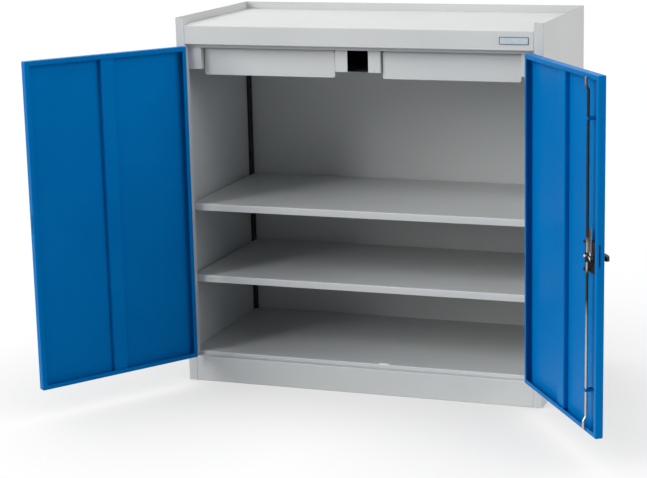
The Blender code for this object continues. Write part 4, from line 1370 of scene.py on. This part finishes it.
@dataclass
class RodLock:
    """Three-point lock on the right leaf: case, cam with tongue, two rods, guides, rose and handle.

    Recesses are pairs of mouth and floor in shares of the radius. The hub's shoulder and the depth of its
    recess are shares of its rise.
    """

    rig: Rig
    case_corner: float = 0.007
    case_edge: float = 0.0016
    case_depth: float = 0.0115
    cheek_height: float = 0.0085
    cheek_width: float = 0.018
    cheek_clear: float = 0.001
    cheek_root: float = 0.003
    cheek_rounding: float = 2.2
    cheek_edge: float = 0.0022
    cam_radius: float = 0.022
    cam_sheet: float = CAM_SHEET
    cam_edge: float = 0.0004
    spindle: float = 0.005
    tongue: float = TONGUE_WIDTH
    tongue_corner: float = 0.003
    hub_radius: float = 0.0085
    hub_rise: float = 0.0042
    hub_shoulder: float = 0.7
    hub_bevel: float = 0.001
    hub_recess: tuple[float, float] = (0.55, 0.5)
    hub_recess_depth: float = 0.6
    ring: float = 0.0016
    ring_crest: float = 0.0024
    crank: float = 0.016
    pin: float = 0.0025
    pin_head: float = 0.0032
    pin_head_rise: float = 0.0012
    pin_fillet: float = 0.0001
    pin_bevel: float = 0.0003
    pin_recess: tuple[float, float] = (0.6, 0.5)
    pin_recess_depth: float = 0.0007
    rod: float = 0.0035
    rod_stand: float = 0.0023
    rod_start: float = 0.0115
    rod_chamfer: float = 0.0009
    rod_bend: float = 0.009
    rod_step: float = 0.010
    rod_tip: float = 0.020
    rod_rows: int = 12
    eye_stands: tuple[float, float] = (0.0012, 0.0036)
    eye_reach: float = 0.0059
    eye_head: float = 0.0093
    eye_wall: float = 0.003
    eye_sheet: float = 0.002
    eye_edge: float = 0.0003
    eye_corner: float = 0.004
    guide_wall: float = 0.002
    guide_bend: float = 0.0036
    rose_edge: float = 0.0012
    rose_seat: float = 0.0002
    rose_centre: float = 0.3
    handle_hub: float = 0.017
    handle_rise: float = 0.0075
    handle_dome: float = 0.003
    handle_edge: float = 0.0006
    handle_width: float = 0.014
    grip_rows: int = 33
    grip_end: int = 6
    grip_least: float = 0.02
    grip_crown: float = 0.0065
    grip_drop: float = 0.004
    grip_seat: float = 0.001

    def __post_init__(self) -> None:
        """Find the spindle's middle, the leaf's face, and the back and front of the cam's plate."""
        self.centre = self.rig.box("lock_rose").middle
        self.face = self.rig.box("right_door").low[1]
        self.back = self.face + self.case_depth + GAP
        self.plate = self.back + self.cam_sheet

    def about_spindle(self, profile: Sequence[Sequence[float]], rise: float = 0.0) -> Shape:
        """Solid turned about the spindle, or about a line above it."""
        return turned(profile, (self.centre[0], 0.0, self.centre[2] + rise), "y")

    def case(self) -> None:
        """Black case with rounded corners and a cheek beside each rod."""
        box = self.rig.box("lock_case")
        back = self.face + self.case_depth
        pieces = [block(box.low, (box.high[0], back, box.high[2]), "y", self.case_corner, self.case_edge)]
        near = self.centre[0] + self.tongue / 2 + self.cheek_clear
        for foot in (box.low[2], box.high[2] - self.cheek_height):
            low = (near, back - self.cheek_root, foot)
            high = (near + self.cheek_width, box.high[1], foot + self.cheek_height)
            pieces.append(block(low, high, "y", self.cheek_height / self.cheek_rounding, self.cheek_edge))
        self.rig.add("lock_case_shell", joined(pieces), BLACK_NYLON, Body.RIGHT_DOOR, ["lock_case"])

    def cam(self) -> None:
        """Cam on the spindle: black disc and hub, a bright ring, zinc tongue and crank pins."""
        box = self.rig.box("lock_cam")
        across, height = self.centre[0], self.centre[2]
        back, plate, edge = self.back, self.plate, self.cam_edge
        disc = self.about_spindle(bevelled(self.cam_radius, back, plate, edge))
        hub, top = self.hub_radius, plate + self.hub_rise
        boss = self.about_spindle([
            (hub, plate - edge), (hub, plate + self.hub_rise * self.hub_shoulder),
            (hub - self.hub_bevel, top),
            *recess(hub, *self.hub_recess, top, self.hub_rise * self.hub_recess_depth)])
        shaft, end = self.spindle, box.low[1]
        spindle = self.about_spindle([(shaft - edge, end), (shaft, end + edge), (shaft, back + edge)])
        self.rig.add("lock_cam_disc", joined([disc, boss, spindle]), BLACK_STEEL, Body.LOCK, ["lock_cam"])
        outer, crest = hub + self.ring, plate + self.ring_crest
        ring = self.about_spindle([
            (outer, plate), (outer, plate + self.ring), (outer - self.ring / 2, crest), (hub - edge, crest)])
        half = self.tongue / 2
        blade = block((box.low[0], back, height - half), (across - hub, plate + edge, height + half), "y",
                      self.tongue_corner, edge)
        tip, shank, head = box.high[1], self.pin, self.pin_head
        under = tip - self.pin_head_rise
        profile = [
            (shank, plate - edge), (shank, under - self.pin_fillet), (head, under),
            (head, tip - self.pin_bevel), (head - self.pin_bevel, tip),
            *recess(head, *self.pin_recess, tip, self.pin_recess_depth)]
        pins = [self.about_spindle(profile, rise) for rise in (self.crank, -self.crank)]
        self.rig.add("lock_tongue", blade, BRIGHT_ZINC, Body.LOCK)
        self.rig.add("lock_pins", joined([ring, *pins]), SATIN_ZINC, Body.LOCK)

    def rods(self) -> None:
        """Upper and lower rod, each stepped at its tip, with a slotted eye over its crank pin."""
        line = self.plate + self.rod_stand + self.rod
        chamfer = self.rod_chamfer
        for body, sign in ((Body.UPPER_ROD, 1.0), (Body.LOWER_ROD, -1.0)):
            node = body.value
            box = self.rig.box(node)
            tip = box.high[1] - self.rod
            end = box.high[2] if sign > 0 else box.low[2]
            start = self.centre[2] + sign * (self.crank + self.rod_start)
            bend = end - sign * self.rod_tip
            path = bent_path([
                (line, start), (line, bend - sign * self.rod_step), (tip, bend), (tip, end)], self.rod_bend)
            straight = np.linspace(path[0], path[1], self.rod_rows)[:-1]
            path = np.concatenate([straight, path[1:-1], [(tip, end - sign * chamfer)], path[-1:]])
            radii = np.full(len(path), self.rod)
            radii[-1] -= chamfer
            self.rig.add(f"{node}_bar", swept_rod(path, self.centre[0], radii), DRAWN_STEEL, body, [node])
            self.rig.add(f"{node}_eye", self.eye(sign), BLACK_STEEL, body)

    def eye(self, sign: float) -> Shape:
        """Slotted plate at a rod's inner end: a rounded frame round the crank pin's path.

        Args:
            sign: 1 for the upper rod, -1 for the lower one.

        Returns:
            The closed frame.
        """
        near = self.plate + self.eye_stands[0 if sign > 0 else 1]
        across = np.sort(self.centre[0] + sign * np.array([-self.eye_reach, self.crank + self.eye_reach]))
        rise = self.crank + np.array([-self.eye_reach, self.eye_head])
        height = np.sort(self.centre[2] + sign * rise)
        edge, wall, sheet = self.eye_edge, self.eye_wall, self.eye_sheet
        insets = [edge, 0.0, 0.0, edge, wall - edge, wall, wall, wall - edge]
        depths = near + np.array([0.0, edge, sheet - edge, sheet, sheet, sheet - edge, edge, 0.0])
        low, high = np.stack([across, height], axis=1)
        return border(low, high, insets, depths, "xzy", self.eye_corner)

    def guides(self) -> None:
        """Painted loops that the rods slide through."""
        half = self.guide_wall / 2
        for level in ("upper", "lower"):
            node = f"{level}_rod_guide"
            box = self.rig.box(node)
            right = box.high[0] - half
            left = 2 * self.centre[0] - right
            foot, crest = box.low[1], box.high[1] - half
            path = bent_path([(left, foot), (left, crest), (right, crest), (right, foot)], self.guide_bend)
            shape = folded(path, box.span("z"), "xyz")
            self.rig.add(f"{node}_loop", shape, BLUE_COAT, Body.RIGHT_DOOR, [node], self.guide_wall)

    def outside(self) -> None:
        """Round rose and turning handle on the door's face."""
        rose = self.rig.box("lock_rose")
        radius, edge = (rose.high[0] - rose.low[0]) / 2, self.rose_edge
        outer, seat = rose.span("y")
        plate = self.about_spindle([
            (radius * self.rose_centre, outer), (radius - edge, outer), (radius, outer + edge),
            (radius, seat - edge), (radius - self.rose_seat, seat)])
        self.rig.add("lock_rose_plate", plate, BLACK_NYLON, Body.RIGHT_DOOR, ["lock_rose"])
        box = self.rig.box("lock_handle")
        hub, dome, edge = self.handle_hub, self.handle_dome, self.handle_edge
        face = box.high[1] - self.handle_rise
        boss = self.about_spindle([
            (hub / 2, face - dome), (hub - dome, face - dome / 2), (hub, face + dome / 2),
            (hub, box.high[1] - edge), (hub - edge, box.high[1])])
        grip = self.grip(box, face)
        self.rig.add("lock_handle_grip", joined([boss, grip]), BLACK_NYLON, Body.LOCK, ["lock_handle"])

    def grip(self, box: Box, face: float) -> Shape:
        """Crowned grip: squarish cross-sections whose depth follows a parabola and whose ends round off.

        Args:
            box: the handle's node.
            face: y of the hub's face, which the grip stands on.

        Returns:
            The closed grip.
        """
        station = np.linspace(-1.0, 1.0, self.grip_rows)
        half = (box.high[2] - box.low[2]) / 2
        taper = np.sqrt(np.clip(1 - np.abs(station) ** self.grip_end, self.grip_least, 1.0))
        crown = box.low[1] + self.grip_crown * station ** 2 + (1 - taper) * self.grip_drop
        foot = face + self.grip_seat - (1 - taper) * self.grip_drop / 2
        angle = np.linspace(0.0, 2 * math.pi, ROUND_SIDES, endpoint=False)
        across, along = (np.sign(wave) * np.sqrt(np.abs(wave)) for wave in (np.cos(angle), np.sin(angle)))
        wide = self.handle_width / 2 * taper
        rings = np.zeros((len(station), ROUND_SIDES, 3))
        rings[..., 0] = self.centre[0] + wide[:, None] * across
        rings[..., 1] = ((crown + foot) / 2)[:, None] + ((foot - crown) / 2)[:, None] * along
        rings[..., 2] = (box.middle[2] + half * station)[:, None]
        return lofted(rings)

    def build(self) -> None:
        """Build the lock."""
        self.case()
        self.cam()
        self.rods()
        self.guides()
        self.outside()


@dataclass(frozen=True)
class Lamp:
    """Wide soft lamp far away: power per square metre, place in degrees from the front, and width."""

    name: str
    strength: float
    azimuth: float
    elevation: float
    spread: float

    def build(self) -> None:
        """Put the lamp up, facing the cabinet."""
        data = bpy.data.lights.new(self.name, "SUN")
        data.energy = self.strength
        data.angle = math.radians(self.spread)
        item = bpy.data.objects.new(self.name, data)
        bpy.context.scene.collection.objects.link(item)
        azimuth, elevation = math.radians(self.azimuth), math.radians(self.elevation)
        toward = Vector((math.sin(azimuth), -math.cos(azimuth), math.tan(elevation)))
        item.rotation_euler = toward.to_track_quat("Z", "Y").to_euler()


@dataclass
class Studio:
    """Pale floor, white surroundings, soft lamps and the camera at the photograph's angle."""

    azimuth: float = 18.11
    elevation: float = 11.90
    roll: float = -0.947
    place: tuple[float, float, float] = (1.4694, -4.2830, 1.4339)
    focal_px: float = 1754.4
    shift_px: tuple[float, float] = (-60.0, -22.0)
    sensor_mm: float = 36.0
    floor_reach: float = 60.0
    floor_bounce: str = "#B4B4B4"
    floor_tone: str = "#606060"
    floor_glow: float = 0.89
    contact_shade: float = 0.52
    contact_reach: float = 0.7
    contact_samples: int = 32
    ambient: float = 0.13
    lamps: tuple[Lamp, ...] = (
        Lamp("key_lamp", 2.72, -44.0, 26.5, 40.0),
        Lamp("side_lamp", 1.55, 80.0, 16.0, 40.0),
        Lamp("sky_lamp", 0.7, 150.0, 82.0, 115.0),
        Lamp("rear_lamp", 0.9, 225.0, 38.0, 50.0),
    )

    def floor(self) -> None:
        """Plain pale floor that keeps the lamps' shadows and a soft shade close to the cabinet."""
        reach = self.floor_reach
        mesh = bpy.data.meshes.new("studio_floor")
        corners = [(-reach, -reach, 0.0), (reach, -reach, 0.0), (reach, reach, 0.0), (-reach, reach, 0.0)]
        mesh.from_pydata(corners, [], [(0, 1, 2, 3)])
        made = bpy.data.materials.new("matt_floor_paint_rolled")
        made.use_nodes = True
        tree = made.node_tree
        tree.nodes.clear()
        paint = add_node(tree, "ShaderNodeBsdfDiffuse", {"Color": linear(self.floor_bounce)})
        shaded = add_node(tree, "ShaderNodeBsdfDiffuse", {"Color": linear(self.floor_tone)})
        contact = add_node(tree, "ShaderNodeAmbientOcclusion", {"Distance": self.contact_reach},
                           samples=self.contact_samples)
        level = add_node(tree, "ShaderNodeMapRange", {
            "Value": contact.outputs["AO"], "To Min": self.floor_glow * (1 - self.contact_shade),
            "To Max": self.floor_glow})
        glow = add_node(tree, "ShaderNodeEmission", {"Strength": level.outputs["Result"]})
        pale = add_node(tree, "ShaderNodeAddShader", {0: shaded.outputs["BSDF"], 1: glow.outputs["Emission"]})
        look = add_node(tree, "ShaderNodeMixShader", {
            "Fac": self.shown(tree), 1: paint.outputs["BSDF"], 2: pale.outputs["Shader"]})
        add_node(tree, "ShaderNodeOutputMaterial", {"Surface": look.outputs["Shader"]})
        mesh.materials.append(made)
        item = bpy.data.objects.new("studio_floor", mesh)
        bpy.context.scene.collection.objects.link(item)

    def shown(self, tree: bpy.types.NodeTree) -> bpy.types.NodeSocket:
        """Light path by which the background is looked at: by the camera, in metal or through glass.

        Args:
            tree: the node tree.

        Returns:
            Socket that is 1 on such a path and 0 on any other.
        """
        rays = add_node(tree, "ShaderNodeLightPath")
        seen = add_node(tree, "ShaderNodeMath", {
            0: rays.outputs["Is Camera Ray"], 1: rays.outputs["Is Glossy Ray"]}, operation="MAXIMUM")
        through = add_node(tree, "ShaderNodeMath", {
            0: seen.outputs["Value"], 1: rays.outputs["Is Transmission Ray"]}, operation="MAXIMUM")
        return through.outputs["Value"]

    def surroundings(self) -> None:
        """White to the camera and in reflections, a plain level for everything else."""
        world = bpy.data.worlds.new("white_studio")
        world.use_nodes = True
        tree = world.node_tree
        tree.nodes.clear()
        level = add_node(tree, "ShaderNodeMapRange", {
            "Value": self.shown(tree), "To Min": self.ambient, "To Max": 1.0})
        back = add_node(tree, "ShaderNodeBackground", {
            "Color": linear("#FFFFFF"), "Strength": level.outputs["Result"]})
        add_node(tree, "ShaderNodeOutputWorld", {"Surface": back.outputs["Background"]})
        bpy.context.scene.world = world

    def camera(self) -> None:
        """Camera at the photograph's place, worked out from the cabinet's edges in it."""
        az, el, roll = (math.radians(value) for value in (self.azimuth, self.elevation, self.roll))
        ahead = Vector((-math.sin(az) * math.cos(el), math.cos(az) * math.cos(el), -math.sin(el)))
        right = Vector((math.cos(az), math.sin(az), 0.0))
        up = right.cross(ahead)
        level_right = math.cos(roll) * right + math.sin(roll) * up
        level_up = math.cos(roll) * up - math.sin(roll) * right
        data = bpy.data.cameras.new("photo_camera")
        data.sensor_width = self.sensor_mm
        data.lens = self.focal_px / IMAGE_WIDTH * self.sensor_mm
        data.shift_x, data.shift_y = (shift / IMAGE_WIDTH for shift in self.shift_px)
        item = bpy.data.objects.new("photo_camera", data)
        bpy.context.scene.collection.objects.link(item)
        matrix = Matrix((level_right, level_up, -ahead)).transposed().to_4x4()
        matrix.translation = Vector(self.place)
        item.matrix_world = matrix
        bpy.context.scene.camera = item

    def build(self) -> None:
        """Build the stage."""
        self.floor()
        self.surroundings()
        for lamp in self.lamps:
            lamp.build()
        self.camera()
        bpy.context.scene.view_settings.view_transform = "Standard"


def main() -> None:
    """Build the stage and the cabinet's sub-assemblies in order."""
    logging.basicConfig(level=logging.INFO, format="%(name)s: %(message)s")
    Studio().build()
    rig = Rig(frame)
    for part in (Carcass(rig), Shelving(rig), Drawers(rig), Doors(rig), RodLock(rig)):
        part.build()


if __name__ == "__main__":
    main()
